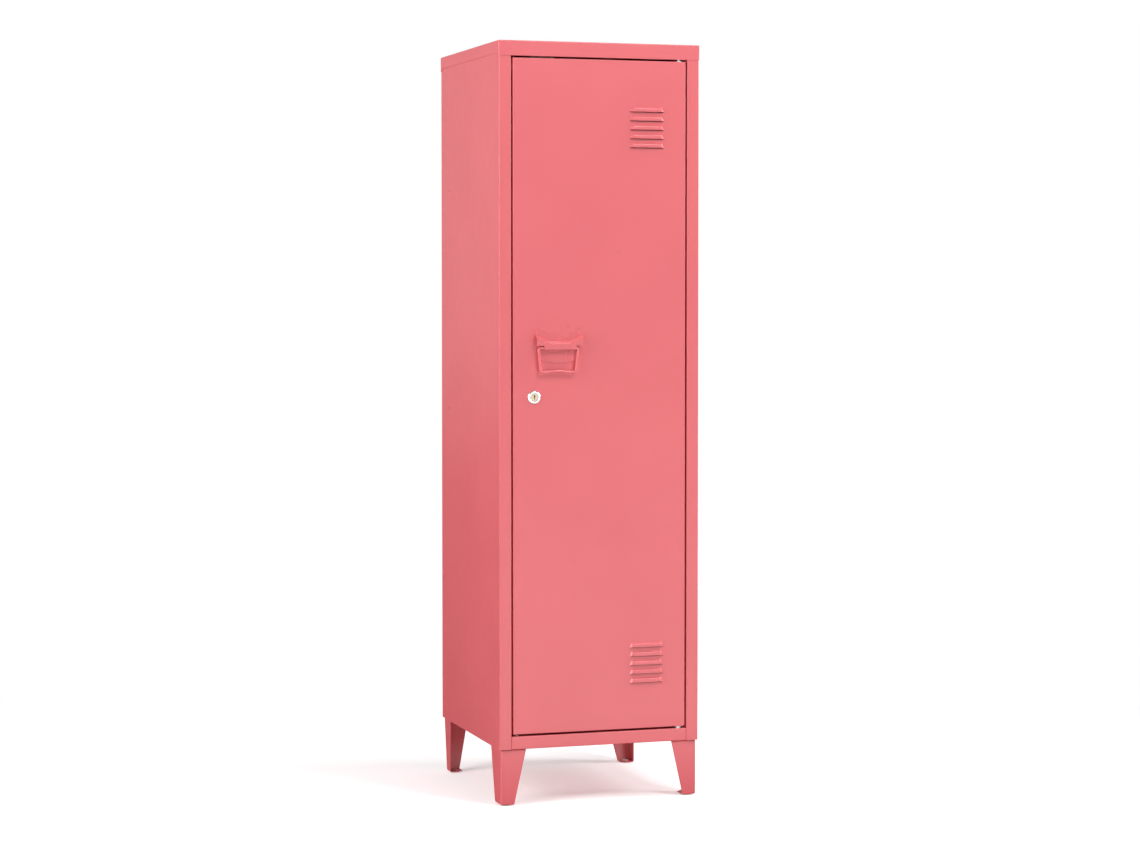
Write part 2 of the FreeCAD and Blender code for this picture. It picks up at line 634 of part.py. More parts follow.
def handle_hood():
    """Raised cover, its middle tab curled round the bail's top bar, open at both sides."""
    low = BAIL_AXIS_Z
    outer = hood_block(HOOD_STANDOFF, HOOD_HALF_WIDTH, HOOD_VALLEY_Z, HOOD_EAR_TOP_Z, HOOD_SLOPE, low)
    face_y = FRONT - HOOD_STANDOFF
    brow = [e for e in outer.Edges if all(near(v.Point.y, face_y) for v in e.Vertexes)
            and all(v.Point.z > HANDLE_Z + HOOD_VALLEY_Z - 0.1 for v in e.Vertexes)]
    outer = outer.makeFillet(HOOD_EDGE_RADIUS, brow)
    ear_slope = (HOOD_EAR_TOP_Z - HOOD_VALLEY_Z) / (HOOD_HALF_WIDTH - HOOD_VALLEY_HALF_WIDTH)
    beyond = 5.0
    cavity = hood_block(HOOD_STANDOFF - HANDLE_SHEET, HOOD_HALF_WIDTH + beyond, HOOD_VALLEY_Z - HANDLE_SHEET,
                        HOOD_EAR_TOP_Z + ear_slope * beyond - HANDLE_SHEET * math.hypot(1, ear_slope),
                        HOOD_SLOPE, low - 1)
    hood = outer.cut(cavity)
    for s in (-1, 1):
        hood = hood.cut(block(HANDLE_X + s * TAB_HALF_WIDTH, HANDLE_X + s * (HOOD_HALF_WIDTH + 1), face_y - 1,
                              FRONT, HANDLE_Z + low - 1, HANDLE_Z + HOOD_EAR_BOTTOM_Z))
    return hood.fuse(tab_curl()).removeSplitter()


def tab_curl():
    centre = Vector(HANDLE_X - TAB_HALF_WIDTH, BAIL_Y, BAIL_Z)
    sweep = math.radians(180 + CURL_OVERRUN_DEG)
    on_ring = lambda r, share: centre + Vector(0, -r * math.cos(sweep * share), -r * math.sin(sweep * share))
    arc = lambda r: Part.Arc(on_ring(r, 0), on_ring(r, 0.5), on_ring(r, 1)).toShape()
    end = lambda share: Part.LineSegment(on_ring(CURL_INNER, share), on_ring(CURL_OUTER, share)).toShape()
    outline = Part.Wire(Part.__sortEdges__([arc(CURL_OUTER), end(1), arc(CURL_INNER), end(0)]))
    return Part.Face(outline).extrude(X_AXIS * 2 * TAB_HALF_WIDTH)


def handle_bail():
    """Wire loop whose two ends butt together inside the curl."""
    drop = BAIL_Z - BAIL_DROP
    half = [(BAIL_BUTT_GAP / 2, BAIL_Z, 0.0), (BAIL_TOP_HALF_WIDTH, BAIL_Z, BAIL_TOP_CORNER),
            (BAIL_BOTTOM_HALF_WIDTH, drop, BAIL_BOTTOM_CORNER)]
    route = half + [(0.0, drop + BAIL_RISE, BAIL_MIDDLE_BEND)] + [(-a, b, r) for a, b, r in reversed(half)]
    points = [Vector(BAIL_X + a, BAIL_Y, b) for a, b, _ in route]
    path = Part.Wire(rounded_edges(points, [r for _, _, r in route], False))
    ring = Part.Wire(Part.makeCircle(BAIL_WIRE_RADIUS, points[0], X_AXIS))
    return path.makePipeShell([ring], True, True)


def handle_rivet_places():
    return [Vector(HANDLE_X + s * HANDLE_RIVET_X, FRONT, HANDLE_Z + HANDLE_RIVET_Z) for s in (-1, 1)]


def handle_rivets():
    stack = HANDLE_SHEET + SHEET
    seats = [place - Y_AXIS * HANDLE_SHEET for place in handle_rivet_places()]
    return Part.makeCompound([rivet(seat, Y_AXIS, stack) for seat in seats])


# ---- cam lock ----
def lock_housing():
    face = Vector(LOCK_X, FRONT, LOCK_Z)
    bezel = rod(BEZEL_RADIUS, BEZEL_PROUD, face - Y_AXIS * BEZEL_PROUD, Y_AXIS)
    rim = [e for e in bezel.Edges if len(e.Vertexes) == 1 and near(e.CenterOfMass.y, FRONT - BEZEL_PROUD)]
    bezel = bezel.makeChamfer(BEZEL_CHAMFER, rim)
    barrel = rod(LOCK_BODY_RADIUS, CAM_FRONT - FRONT - THRUST_GAP, face, Y_AXIS)
    bore = rod(PLUG_RADIUS + PLUG_RUNNING_CLEARANCE, BEZEL_PROUD + CAM_FRONT - FRONT + 2,
               face - Y_AXIS * (BEZEL_PROUD + 1), Y_AXIS)
    return bezel.fuse(barrel).cut(bore).removeSplitter()


def lock_plug():
    """Rotating plug with the keyway in front and a square end for the cam."""
    start = Vector(LOCK_X, FRONT - BEZEL_PROUD + PLUG_RECESS, LOCK_Z)
    plug = rod(PLUG_RADIUS, CAM_FRONT - start.y, start, Y_AXIS)
    square = block(LOCK_X - CAM_HUB_HALF, LOCK_X + CAM_HUB_HALF, CAM_FRONT, CAM_FRONT + CAM_THICKNESS,
                   LOCK_Z - CAM_HUB_HALF, LOCK_Z + CAM_HUB_HALF)
    tall = block(LOCK_X - KEYHOLE_WIDTH / 2, LOCK_X + KEYHOLE_WIDTH / 2, start.y - 1, start.y + KEYHOLE_DEPTH,
                 LOCK_Z - KEYHOLE_HEIGHT / 2, LOCK_Z + KEYHOLE_HEIGHT / 2)
    wide = block(LOCK_X - KEYHOLE_UPPER_WIDTH / 2, LOCK_X + KEYHOLE_UPPER_WIDTH / 2, start.y - 1,
                 start.y + KEYHOLE_DEPTH, LOCK_Z + KEYHOLE_WIDTH / 2, LOCK_Z + KEYHOLE_HEIGHT / 2)
    end = Vector(LOCK_X, CAM_FRONT + CAM_THICKNESS, LOCK_Z)
    screw_hole = rod(SCREW_RADIUS, CAM_THICKNESS + CAM_SCREW_HOLE_REACH, end, -Y_AXIS)
    return plug.fuse(square).cut(tall.fuse(wide)).cut(screw_hole).removeSplitter()


def lock_cam():
    """Flat arm on the plug's square, hanging straight down when unlocked."""
    hub, tip = CAM_WIDTH / 2, CAM_WIDTH / 2 - CAM_TIP_TAPER
    outline = [(LOCK_X - hub, LOCK_Z + hub), (LOCK_X + hub, LOCK_Z + hub),
               (LOCK_X + tip, LOCK_Z - CAM_LENGTH), (LOCK_X - tip, LOCK_Z - CAM_LENGTH)]
    radii = [CAM_HUB_ROUNDING, CAM_HUB_ROUNDING, CAM_TIP_ROUNDING, CAM_TIP_ROUNDING]
    arm = prism(outline, radii, "y", CAM_FRONT, CAM_FRONT + CAM_THICKNESS)
    square = block(LOCK_X - CAM_HUB_HALF, LOCK_X + CAM_HUB_HALF, CAM_FRONT - 1, CAM_FRONT + CAM_THICKNESS + 1,
                   LOCK_Z - CAM_HUB_HALF, LOCK_Z + CAM_HUB_HALF)
    return arm.cut(square)


def cam_screw():
    seat = Vector(LOCK_X, CAM_FRONT + CAM_THICKNESS, LOCK_Z)
    length = CAM_THICKNESS + CAM_SCREW_REACH
    return pan_screw(seat, -Y_AXIS, SCREW_RADIUS, length, CAM_SCREW_HEAD_RADIUS, SCREW_HEAD)


def lock_washer():
    seat = Vector(LOCK_X, FRONT + SHEET, LOCK_Z)
    ring = rod(LOCK_WASHER_RADIUS, LOCK_WASHER_THICKNESS, seat, Y_AXIS)
    return ring.cut(rod(LOCK_BODY_RADIUS, LOCK_WASHER_THICKNESS + 2, seat - Y_AXIS, Y_AXIS))


def lock_nut():
    seat = Vector(LOCK_X, FRONT + SHEET + LOCK_WASHER_THICKNESS, LOCK_Z)
    nut = hex_prism(LOCK_NUT_ACROSS, LOCK_NUT_THICKNESS, seat)
    return nut.cut(rod(LOCK_BODY_RADIUS, LOCK_NUT_THICKNESS + 2, seat - Y_AXIS, Y_AXIS))


# ---- interior fittings ----
def shelf_rail(y):
    """Slotted upright for the left wall, its web facing the middle of the cabinet."""
    half, t = RAIL_WIDTH / 2, SHEET / 2
    line = [(-WALL_INNER, y - half + t), (-RAIL_INNER - t, y - half + t),
            (-RAIL_INNER - t, y + half - t), (-WALL_INNER, y + half - t)]
    rail = folded(line, SHEET, "z", RAIL_BOTTOM, RAIL_TOP)
    slots = []
    z = FIRST_SLOT_Z
    while z + SLOT_HEIGHT < RAIL_TOP:
        slots.append(block(-RAIL_INNER - 2 * SHEET, -RAIL_INNER + 1, y - SLOT_WIDTH / 2, y + SLOT_WIDTH / 2,
                           z - SLOT_HEIGHT / 2, z + SLOT_HEIGHT / 2))
        z += SLOT_PITCH
    return rail.cut(slots)


def shelf_seat(number):
    """Height of the clip tabs that sit in the numbered slot, which is the shelf's underside."""
    return FIRST_SLOT_Z + number * SLOT_PITCH


def shelf_clip(y, seat_z):
    """Left-hand clip: a tongue through the slot and a level tab that the shelf rests on."""
    wide, narrow = CLIP_TAB_WIDTH / 2, SLOT_WIDTH / 2 - CLIP_PLAY
    tongue = block(-RAIL_INNER - SHEET - CLIP_TONGUE_REACH, -RAIL_INNER, y - narrow, y + narrow,
                   seat_z - SLOT_HEIGHT / 2, seat_z)
    face = block(-RAIL_INNER, -RAIL_INNER + SHELF_SIDE_PLAY, y - wide, y + wide, seat_z - SLOT_HEIGHT, seat_z)
    tab = block(-RAIL_INNER, -RAIL_INNER + CLIP_TAB_LENGTH, y - wide, y + wide,
                seat_z - CLIP_THICKNESS, seat_z)
    return tongue.fuse([face, tab]).removeSplitter()


def shelf_clips(seat_z):
    left = [shelf_clip(y, seat_z) for y in RAIL_Y.values()]
    return Part.makeCompound(left + [mirrored(clip) for clip in left])


def shelf(seat_z):
    half = RAIL_INNER - SHELF_SIDE_PLAY
    front, rear = DOOR_BACK + SHELF_FROM_DOOR_BACK, BACK_PANEL_FRONT - SHELF_BACK_PLAY
    top = seat_z + SHELF_EDGE
    outer = block(-half, half, front, rear, seat_z, top)
    outer = fillet_where(outer, SHELF_EDGE_RADIUS, lambda p: near(p.z, top))
    inner = block(-half + SHEET, half - SHEET, front + SHEET, rear - SHEET, seat_z - 1, top - SHEET)
    hem = block(-half + SHEET, half - SHEET, front + SHEET / 2, front + SHELF_HEM, seat_z, seat_z + SHEET)
    return outer.cut(inner).fuse(hem).removeSplitter()


def catch_centre():
    return Vector(DOOR_LEFT + CATCH_FROM_LATCH_EDGE, DOOR_BACK + STRIKER_THICKNESS + CATCH_GAP, LID_LIP_Z)


def catch_screw_places():
    c = catch_centre()
    off = (CATCH_LENGTH + MAGNET_LENGTH) / 4
    y = (c.y + LID_FRONT + LID_RETURN_DEPTH) / 2 - CATCH_FACE_SETBACK
    return [Vector(c.x + s * off, y, LID_LIP_Z) for s in (-1, 1)]


def magnet_block():
    c = catch_centre()
    z = DOOR_TOP - DOOR_LIP / 2
    return block(c.x - MAGNET_LENGTH / 2, c.x + MAGNET_LENGTH / 2, c.y, c.y + MAGNET_DEPTH,
                 z - MAGNET_HEIGHT / 2, z + MAGNET_HEIGHT / 2)


def catch_body():
    """Moulded case hung under the lid's front return, holding the magnet towards the door."""
    c = catch_centre()
    case = block(c.x - CATCH_LENGTH / 2, c.x + CATCH_LENGTH / 2, c.y + CATCH_FACE_SETBACK, c.y + CATCH_DEPTH,
                 LID_LIP_Z - CATCH_HEIGHT, LID_LIP_Z)
    case = fillet_where(case, CATCH_EDGE_RADIUS, lambda p: near(p.z, LID_LIP_Z - CATCH_HEIGHT))
    case = case.cut(magnet_block())
    for place in catch_screw_places():
        case = case.cut(rod(CATCH_SCREW_RADIUS, CATCH_HEIGHT + 2, place + Z_AXIS, -Z_AXIS))
    return case


def catch_screws():
    screws = []
    for place in catch_screw_places():
        seat = place - Z_AXIS * CATCH_HEIGHT
        screws.append(pan_screw(seat, Z_AXIS, CATCH_SCREW_RADIUS, CATCH_HEIGHT + CATCH_SCREW_HEAD,
                                CATCH_SCREW_HEAD_RADIUS, CATCH_SCREW_HEAD))
    return Part.makeCompound(screws)


def catch_striker():
    c = catch_centre()
    z = DOOR_TOP - DOOR_LIP / 2
    return block(c.x - STRIKER_LENGTH / 2, c.x + STRIKER_LENGTH / 2, DOOR_BACK, DOOR_BACK + STRIKER_THICKNESS,
                 z - STRIKER_HEIGHT / 2, z + STRIKER_HEIGHT / 2)


def door_buffers():
    """Soft discs on the stop lip that the closed door almost touches."""
    x = (DOOR_LEFT - OPENING_HALF + STOP_LIP) / 2
    lip_front = JAMB_BACK - SHEET
    length = lip_front - DOOR_BACK - BUFFER_CLEARANCE
    radius = min(BUFFER_RADIUS, -OPENING_HALF + STOP_LIP - x)
    heights = (DOOR_BOTTOM + BUFFER_FROM_DOOR_END, DOOR_TOP - BUFFER_FROM_DOOR_END)
    return Part.makeCompound([rod(radius, length, Vector(x, lip_front, z), -Y_AXIS) for z in heights])


def door_rest_bump():
    place = Vector(DOOR_LEFT + DOOR_REST_FROM_LATCH_EDGE, PIVOT_Y, FLOOR_Z)
    bump = rod(DOOR_REST_RADIUS, DOOR_REST_HEIGHT, place, Z_AXIS)
    top = FLOOR_Z + DOOR_REST_HEIGHT
    rim = [e for e in bump.Edges if len(e.Vertexes) == 1 and near(e.CenterOfMass.z, top)]
    return bump.makeFillet(DOOR_REST_HEIGHT / 2, rim)


# ---- legs, for the left side ----
def foot_corner(is_front):
    """Outer corner of a left leg at the floor and at the top: x, y at the floor, y at the top."""
    x = -BODY_HALF + LEG_INSET
    if is_front:
        return x, FRONT + LEG_INSET, FRONT + LEG_INSET
    top_y = REAR - LEG_INSET
    return x, top_y - (REAR_LEG_TOP_DEPTH - REAR_LEG_FOOT_DEPTH), top_y


def leg(is_front):
    """Two tapered walls with a level plate at the top and a small foot plate."""
    x, foot_y, top_y = foot_corner(is_front)
    inward = 1 if is_front else -1
    top_depth = FRONT_LEG_TOP_DEPTH if is_front else REAR_LEG_TOP_DEPTH
    foot_depth = FRONT_LEG_FOOT_DEPTH if is_front else REAR_LEG_FOOT_DEPTH
    low, high, t = GLIDE_PAD, BODY_BOTTOM, LEG_SHEET

    def frustum(x0, foot, top, z0, z1):
        loops = []
        for z, (width, y0, depth) in ((z0, foot), (z1, top)):
            y1 = y0 + inward * depth
            outline = [(x0, y0), (x0 + width, y0), (x0 + width, y1), (x0, y1), (x0, y0)]
            loops.append(Part.makePolygon([Vector(a, b, z) for a, b in outline]))
        return Part.makeLoft(loops, True, True)

    def soften(shape, x0, y_low, y_high, z0, radius):
        on_side_wall = lambda p: near(p.x, x0)
        on_end_wall = lambda p: near(p.y, y_low if near(p.z, z0) else y_high)
        picked = []
        for e in shape.Edges:
            ends = [v.Point for v in e.Vertexes]
            is_level = near(ends[0].z, ends[1].z)
            on_walls = [all(test(p) for p in ends) for test in (on_side_wall, on_end_wall)]
            if all(on_walls) or (is_level and any(on_walls)):
                picked.append(e)
        return shape.makeFillet(radius, picked)

    lean = (top_y - foot_y) / (high - low)
    outer = frustum(x, (LEG_FOOT_WIDTH, foot_y, foot_depth), (LEG_TOP_WIDTH, top_y, top_depth), low, high)
    outer = soften(outer, x, foot_y, top_y, low, LEG_OUTER_RADIUS)
    wide, deep = 2 * LEG_TOP_WIDTH, 2 * FRONT_LEG_TOP_DEPTH
    cover = inward * t * math.hypot(1, lean)
    low_y, high_y = foot_y + lean * t + cover, top_y - lean * t + cover
    cavity = frustum(x + t, (wide, low_y, deep), (wide, high_y, deep), low + t, high - t)
    cavity = soften(cavity, x + t, low_y, high_y, low + t, LEG_OUTER_RADIUS - t)
    shell = outer.cut(cavity)
    foot_x, foot_in = x + LEG_FOOT_WIDTH, foot_y + inward * foot_depth
    shell = shell.cut(block(foot_x - FOOT_NOTCH, foot_x + t,
                            foot_in - inward * FOOT_NOTCH, foot_in + inward * t, low - 1, low + t + 0.5))
    shell = shell.cut(rod(GLIDE_HOLE_RADIUS, t + 2, glide_place(is_front) + Z_AXIS * (low - 1), Z_AXIS))
    for place in left_leg_screw_places(is_front):
        shell = shell.cut(rod(SCREW_RADIUS, t + 2, place - Z_AXIS * (t + 1), Z_AXIS))
    return shell


def glide_place(is_front):
    x, foot_y, _ = foot_corner(is_front)
    inward = 1 if is_front else -1
    return Vector(x + GLIDE_FROM_CORNER, foot_y + inward * GLIDE_FROM_CORNER, 0)


def leg_glide(is_front):
    """Moulded foot pressed into the foot plate, its pad on the floor."""
    place = glide_place(is_front)
    pad = rod(GLIDE_PAD_RADIUS, GLIDE_PAD, place, Z_AXIS)
    rim = [e for e in pad.Edges if len(e.Vertexes) == 1 and near(e.CenterOfMass.z, 0)]
    pad = pad.makeChamfer(GLIDE_PAD_CHAMFER, rim)
    stem = rod(GLIDE_HOLE_RADIUS, LEG_SHEET, place + Z_AXIS * GLIDE_PAD, Z_AXIS)
    cap_base = place + Z_AXIS * (GLIDE_PAD + LEG_SHEET)
    cap_top = cap_base.z + GLIDE_CAP
    cap = rod(GLIDE_CAP_RADIUS, GLIDE_CAP, cap_base, Z_AXIS)
    crown = [e for e in cap.Edges if len(e.Vertexes) == 1 and near(e.CenterOfMass.z, cap_top)]
    cap = cap.makeFillet(GLIDE_CAP * 0.6, crown)
    return pad.fuse([stem, cap]).removeSplitter()


def left_leg_screw_places(is_front):
    """One screw in the tray's end return and one in its side return."""
    x, _, top_y = foot_corner(is_front)
    inward = 1 if is_front else -1
    top_depth = FRONT_LEG_TOP_DEPTH if is_front else REAR_LEG_TOP_DEPTH
    end_return = FRONT if is_front else BACK_PANEL_FRONT
    across = x + LEG_TOP_WIDTH - LEG_SCREW_FROM_EDGE
    along = top_y + inward * (top_depth - LEG_SCREW_FROM_EDGE)
    return [
        Vector(across, end_return + inward * TRAY_RETURN / 2, BODY_BOTTOM),
        Vector(-WALL_INNER + TRAY_RETURN / 2, along, BODY_BOTTOM),
    ]


def leg_screw_places():
    left = left_leg_screw_places(True) + left_leg_screw_places(False)
    return left + [Vector(-p.x, p.y, p.z) for p in left]


def leg_screws():
    seats = [place - Z_AXIS * LEG_SHEET for place in leg_screw_places()]
    return Part.makeCompound([
        pan_screw(seat, Z_AXIS, SCREW_RADIUS, LEG_SCREW_LENGTH, SCREW_HEAD_RADIUS, SCREW_HEAD)
        for seat in seats
    ])


def back_rivets():
    return Part.makeCompound([rivet(place, -Y_AXIS, 2 * SHEET) for place in back_rivet_places()])


# ---- the whole cabinet ----
def build_nodes():
    nodes = {
        "left_side_panel": drilled_for_back_rivets(side_panel(True)),
        "right_side_panel": drilled_for_back_rivets(mirrored(side_panel(False))),
        "back_panel": back_panel(),
        "top_lid": top_lid(),
        "bottom_tray": bottom_tray(),
        "door_skin": door_skin(),
        "door_stiffener": door_stiffener(),
        "hinge_pin_top": hinge_pin(LID_LIP_Z, -Z_AXIS, False),
        "hinge_pin_bottom": hinge_pin(FLOOR_Z, Z_AXIS, True),
        "hinge_bush_top": hinge_bush(DOOR_TOP, -Z_AXIS, BUSH_TOP_FLANGE),
        "hinge_bush_bottom": hinge_bush(DOOR_BOTTOM, Z_AXIS, BUSH_BOTTOM_FLANGE),
        "handle_plate": handle_plate(),
        "handle_hood": handle_hood(),
        "handle_bail": handle_bail(),
        "handle_rivets": handle_rivets(),
        "lock_housing": lock_housing(),
        "lock_plug": lock_plug(),
        "lock_cam": lock_cam(),
        "cam_screw": cam_screw(),
        "lock_washer": lock_washer(),
        "lock_nut": lock_nut(),
        "catch_body": catch_body(),
        "catch_magnet": magnet_block(),
        "catch_screws": catch_screws(),
        "catch_striker": catch_striker(),
        "door_buffers": door_buffers(),
        "door_rest_bump": door_rest_bump(),
        "leg_screws": leg_screws(),
        "back_rivets": back_rivets(),
    }
    for end, y in RAIL_Y.items():
        rail = shelf_rail(y)
        nodes[f"shelf_rail_{end}_left"] = rail
        nodes[f"shelf_rail_{end}_right"] = mirrored(rail)
    for level, number in SHELF_SLOT_NUMBERS.items():
        nodes[f"shelf_{level}"] = shelf(shelf_seat(number))
        nodes[f"shelf_clips_{level}"] = shelf_clips(shelf_seat(number))
    for end, is_front in (("front", True), ("rear", False)):
        left_leg, left_glide = leg(is_front), leg_glide(is_front)
        nodes[f"leg_{end}_left"] = left_leg
        nodes[f"leg_{end}_right"] = mirrored(left_leg)
        nodes[f"leg_glide_{end}_left"] = left_glide
        nodes[f"leg_glide_{end}_right"] = mirrored(left_glide)
    return nodes


def main():
    os.makedirs("parts", exist_ok=True)
    for name, shape in build_nodes().items():
        shape.exportStep(os.path.join("parts", name + ".step"))
        print(f"{name}: {len(shape.Solids)} solid(s), {shape.Volume:.1f} mm3, valid {shape.isValid()}")


main()
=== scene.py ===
"""Finished look of a tall steel locker cabinet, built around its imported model.

Each sub-assembly is a class that holds its sizes and makes or dresses its own pieces. Each finish is a
frozen dataclass that builds one material. Sizes are in metres, written as a number of millimetres times MM.
"""
import logging
import math
from abc import ABC, abstractmethod
from dataclasses import dataclass, field
from enum import Enum
from typing import Any, ClassVar, Sequence

import bmesh
import bpy
from mathutils import Matrix, Vector


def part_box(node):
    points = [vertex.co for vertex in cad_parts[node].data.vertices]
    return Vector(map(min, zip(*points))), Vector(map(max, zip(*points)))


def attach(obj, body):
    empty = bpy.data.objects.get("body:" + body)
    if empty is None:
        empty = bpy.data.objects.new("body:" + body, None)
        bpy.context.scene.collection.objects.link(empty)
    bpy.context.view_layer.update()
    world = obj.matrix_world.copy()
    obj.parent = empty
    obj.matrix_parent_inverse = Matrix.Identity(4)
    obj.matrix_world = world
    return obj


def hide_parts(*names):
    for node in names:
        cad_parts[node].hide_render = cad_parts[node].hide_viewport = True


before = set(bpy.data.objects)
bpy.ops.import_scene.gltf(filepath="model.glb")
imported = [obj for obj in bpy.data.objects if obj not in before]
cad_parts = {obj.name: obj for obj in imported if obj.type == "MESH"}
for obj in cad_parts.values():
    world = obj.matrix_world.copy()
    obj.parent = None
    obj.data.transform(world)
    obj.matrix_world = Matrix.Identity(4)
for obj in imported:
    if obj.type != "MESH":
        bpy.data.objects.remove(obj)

MM = 0.001
EDGE_ATTRIBUTE = "eased_edge"
MERGE_DISTANCE = 0.001 * MM
FLAT_ANGLE = math.radians(0.3)
TURNED_STEPS = 72
AXLE_DIRECTION = Vector((0.0, 1.0, 0.0))
UPWARDS = Vector((0.0, 0.0, 1.0))
LOG = logging.getLogger("locker_cabinet")

Colour = tuple[float, float, float]
Profile = Sequence[tuple[float, float]]


class Body(Enum):
    """The moving bodies that pieces ride on."""

    CABINET = "cabinet"
    DOOR = "door"
    BAIL = "bail"
    LOCK = "lock_cylinder"


class Slot(Enum):
    """The material slots that finishes belong to."""

    POWDER = "powder_coat"
    ZINC = "zinc_plate"
    CHROME = "chrome_bezel"
    NICKEL = "nickel_plug"
    MAGNET = "magnet"
    NYLON = "pale_nylon"
    RUBBER = "soft_buffer"


class Side(Enum):
    """Which way a glide or leg stands from the cabinet's middle."""

    FRONT_LEFT = "front_left"
    FRONT_RIGHT = "front_right"
    REAR_LEFT = "rear_left"
    REAR_RIGHT = "rear_right"


# ---- node trees ----
class Wiring:
    """Adds nodes to one node tree and joins their sockets."""

    def __init__(self, tree: bpy.types.NodeTree) -> None:
        """Work on the given tree."""
        self.tree = tree

    def add(self, kind: str, **settings: Any) -> bpy.types.Node:
        """Add a node and set its properties.

        Args:
            kind: the node's type name.
            settings: values for the node's own properties.

        Returns:
            The new node.
        """
        node = self.tree.nodes.new(kind)
        for name, value in settings.items():
            setattr(node, name, value)
        return node

    def feed(self, socket: bpy.types.NodeSocket, value: Any) -> None:
        """Join a socket to an output, or give it a fixed value.

        Args:
            socket: the input to feed.
            value: another node's output, or a plain value.
        """
        if isinstance(value, bpy.types.NodeSocket):
            self.tree.links.new(value, socket)
        else:
            socket.default_value = value

    def fill(self, node: bpy.types.Node, **values: Any) -> bpy.types.Node:
        """Feed a node's inputs by name, with underscores for spaces.

        Args:
            node: the node to feed.
            values: input name to output or plain value.

        Returns:
            The same node.
        """
        for name, value in values.items():
            self.feed(node.inputs[name.replace("_", " ")], value)
        return node

    def sum(self, operation: str, *values: Any, clamp: bool = False) -> bpy.types.NodeSocket:
        """Add a maths node.

        Args:
            operation: the maths operation.
            values: what goes in, in order.
            clamp: whether the result stays between 0 and 1.

        Returns:
            The result.
        """
        node = self.add("ShaderNodeMath", operation=operation, use_clamp=clamp)
        for socket, value in zip(node.inputs, values):
            self.feed(socket, value)
        return node.outputs[0]

    def vector_sum(self, operation: str, *values: Any) -> bpy.types.NodeSocket:
        """Add a vector maths node.

        Args:
            operation: the maths operation.
            values: what goes in, in order.

        Returns:
            The resulting vector.
        """
        node = self.add("ShaderNodeVectorMath", operation=operation)
        for socket, value in zip(node.inputs, values):
            self.feed(socket, value)
        return node.outputs[0]

    def noise(self, place: Any, scale: Any, detail: float, roughness: float = 0.5) -> bpy.types.NodeSocket:
        """Add a noise texture.

        Args:
            place: where the noise is read.
            scale: cells for each metre.
            detail: number of finer layers.
            roughness: how strong the finer layers are.

        Returns:
            The noise value, from 0 to 1.
        """
        node = self.add("ShaderNodeTexNoise")
        self.fill(node, Vector=place, Scale=scale, Detail=detail, Roughness=roughness)
        return node.outputs["Fac"]

    def mix(self, share: Any, first: Any, second: Any) -> bpy.types.NodeSocket:
        """Mix two colours.

        Args:
            share: how much of the second colour shows.
            first: the first colour.
            second: the second colour.

        Returns:
            The mixed colour.
        """
        node = self.add("ShaderNodeMix", data_type="RGBA")
        self.feed(node.inputs[0], share)
        self.feed(node.inputs[6], first)
        self.feed(node.inputs[7], second)
        return node.outputs[2]

    def ramp(self, value: Any, span: tuple[float, float], ends: tuple[float, float] = (0.0, 1.0)
             ) -> bpy.types.NodeSocket:
        """Go smoothly from one level to another as a value crosses a span.

        Args:
            value: what is read.
            span: where the change begins and ends.
            ends: the levels before and after it.

        Returns:
            The level.
        """
        node = self.add("ShaderNodeMapRange", interpolation_type="SMOOTHSTEP")
        self.fill(node, Value=value, From_Min=span[0], From_Max=span[1], To_Min=ends[0], To_Max=ends[1])
        return node.outputs["Result"]


def opaque(colour: Colour) -> tuple[float, float, float, float]:
    """Give a colour with full opacity."""
    return (*colour, 1.0)


# ---- effects that several finishes share ----
class Effect(ABC):
    """A shader node group, built once and placed in each material with that material's own values."""

    name: ClassVar[str]
    entries: ClassVar[dict[str, tuple[str, float]]]
    result: ClassVar[str]

    @classmethod
    def group(cls) -> bpy.types.NodeTree:
        """Find the node group, and build it the first time.

        Returns:
            The node group.
        """
        known = bpy.data.node_groups.get(cls.name)
        if known is not None:
            return known
        tree = bpy.data.node_groups.new(cls.name, "ShaderNodeTree")
        tree.interface.new_socket("Position", in_out="INPUT", socket_type="NodeSocketVector")
        for name, (kind, default) in cls.entries.items():
            tree.interface.new_socket(name, in_out="INPUT", socket_type=kind).default_value = default
        tree.interface.new_socket(cls.result, in_out="OUTPUT", socket_type="NodeSocketFloat")
        net = Wiring(tree)
        given, out = net.add("NodeGroupInput"), net.add("NodeGroupOutput")
        net.feed(out.inputs[0], cls.wire(net, given.outputs))
        return tree

    @classmethod
    def place(cls, net: Wiring, position: bpy.types.NodeSocket, **values: float) -> bpy.types.NodeSocket:
        """Put the group in a material.

        Args:
            net: the material's wiring.
            position: where the effect is read.
            values: the material's own values, by input name with underscores for spaces.

        Returns:
            The group's output.
        """
        node = net.add("ShaderNodeGroup", node_tree=cls.group())
        net.fill(node, Position=position, **values)
        return node.outputs[0]

    @classmethod
    @abstractmethod
    def wire(cls, net: Wiring, given: Any) -> bpy.types.NodeSocket:
        """Make the group's nodes.

        Args:
            net: the group's wiring.
            given: the group's inputs, by name.

        Returns:
            The value that the group puts out.
        """


class CuredSkin(Effect):
    """The fine skin of small rounded bumps that powder paint cures to."""

    name = "cured_skin"
    entries = {"Bumps per Metre": ("NodeSocketFloat", 900.0), "Coarse Share": ("NodeSocketFloat", 0.4)}
    result = "Height"

    @classmethod
    def wire(cls, net: Wiring, given: Any) -> bpy.types.NodeSocket:
        """Mix a fine and a three times coarser layer of bumps.

        Args:
            net: the group's wiring.
            given: the group's inputs, by name.

        Returns:
            The height.
        """
        fine = net.noise(given["Position"], given["Bumps per Metre"], 1.0)
        coarse_scale = net.sum("MULTIPLY", given["Bumps per Metre"], 0.31)
        coarse = net.noise(given["Position"], coarse_scale, 0.0)
        swing = net.sum("MULTIPLY", net.sum("SUBTRACT", coarse, fine), given["Coarse Share"])
        return net.sum("ADD", fine, swing)


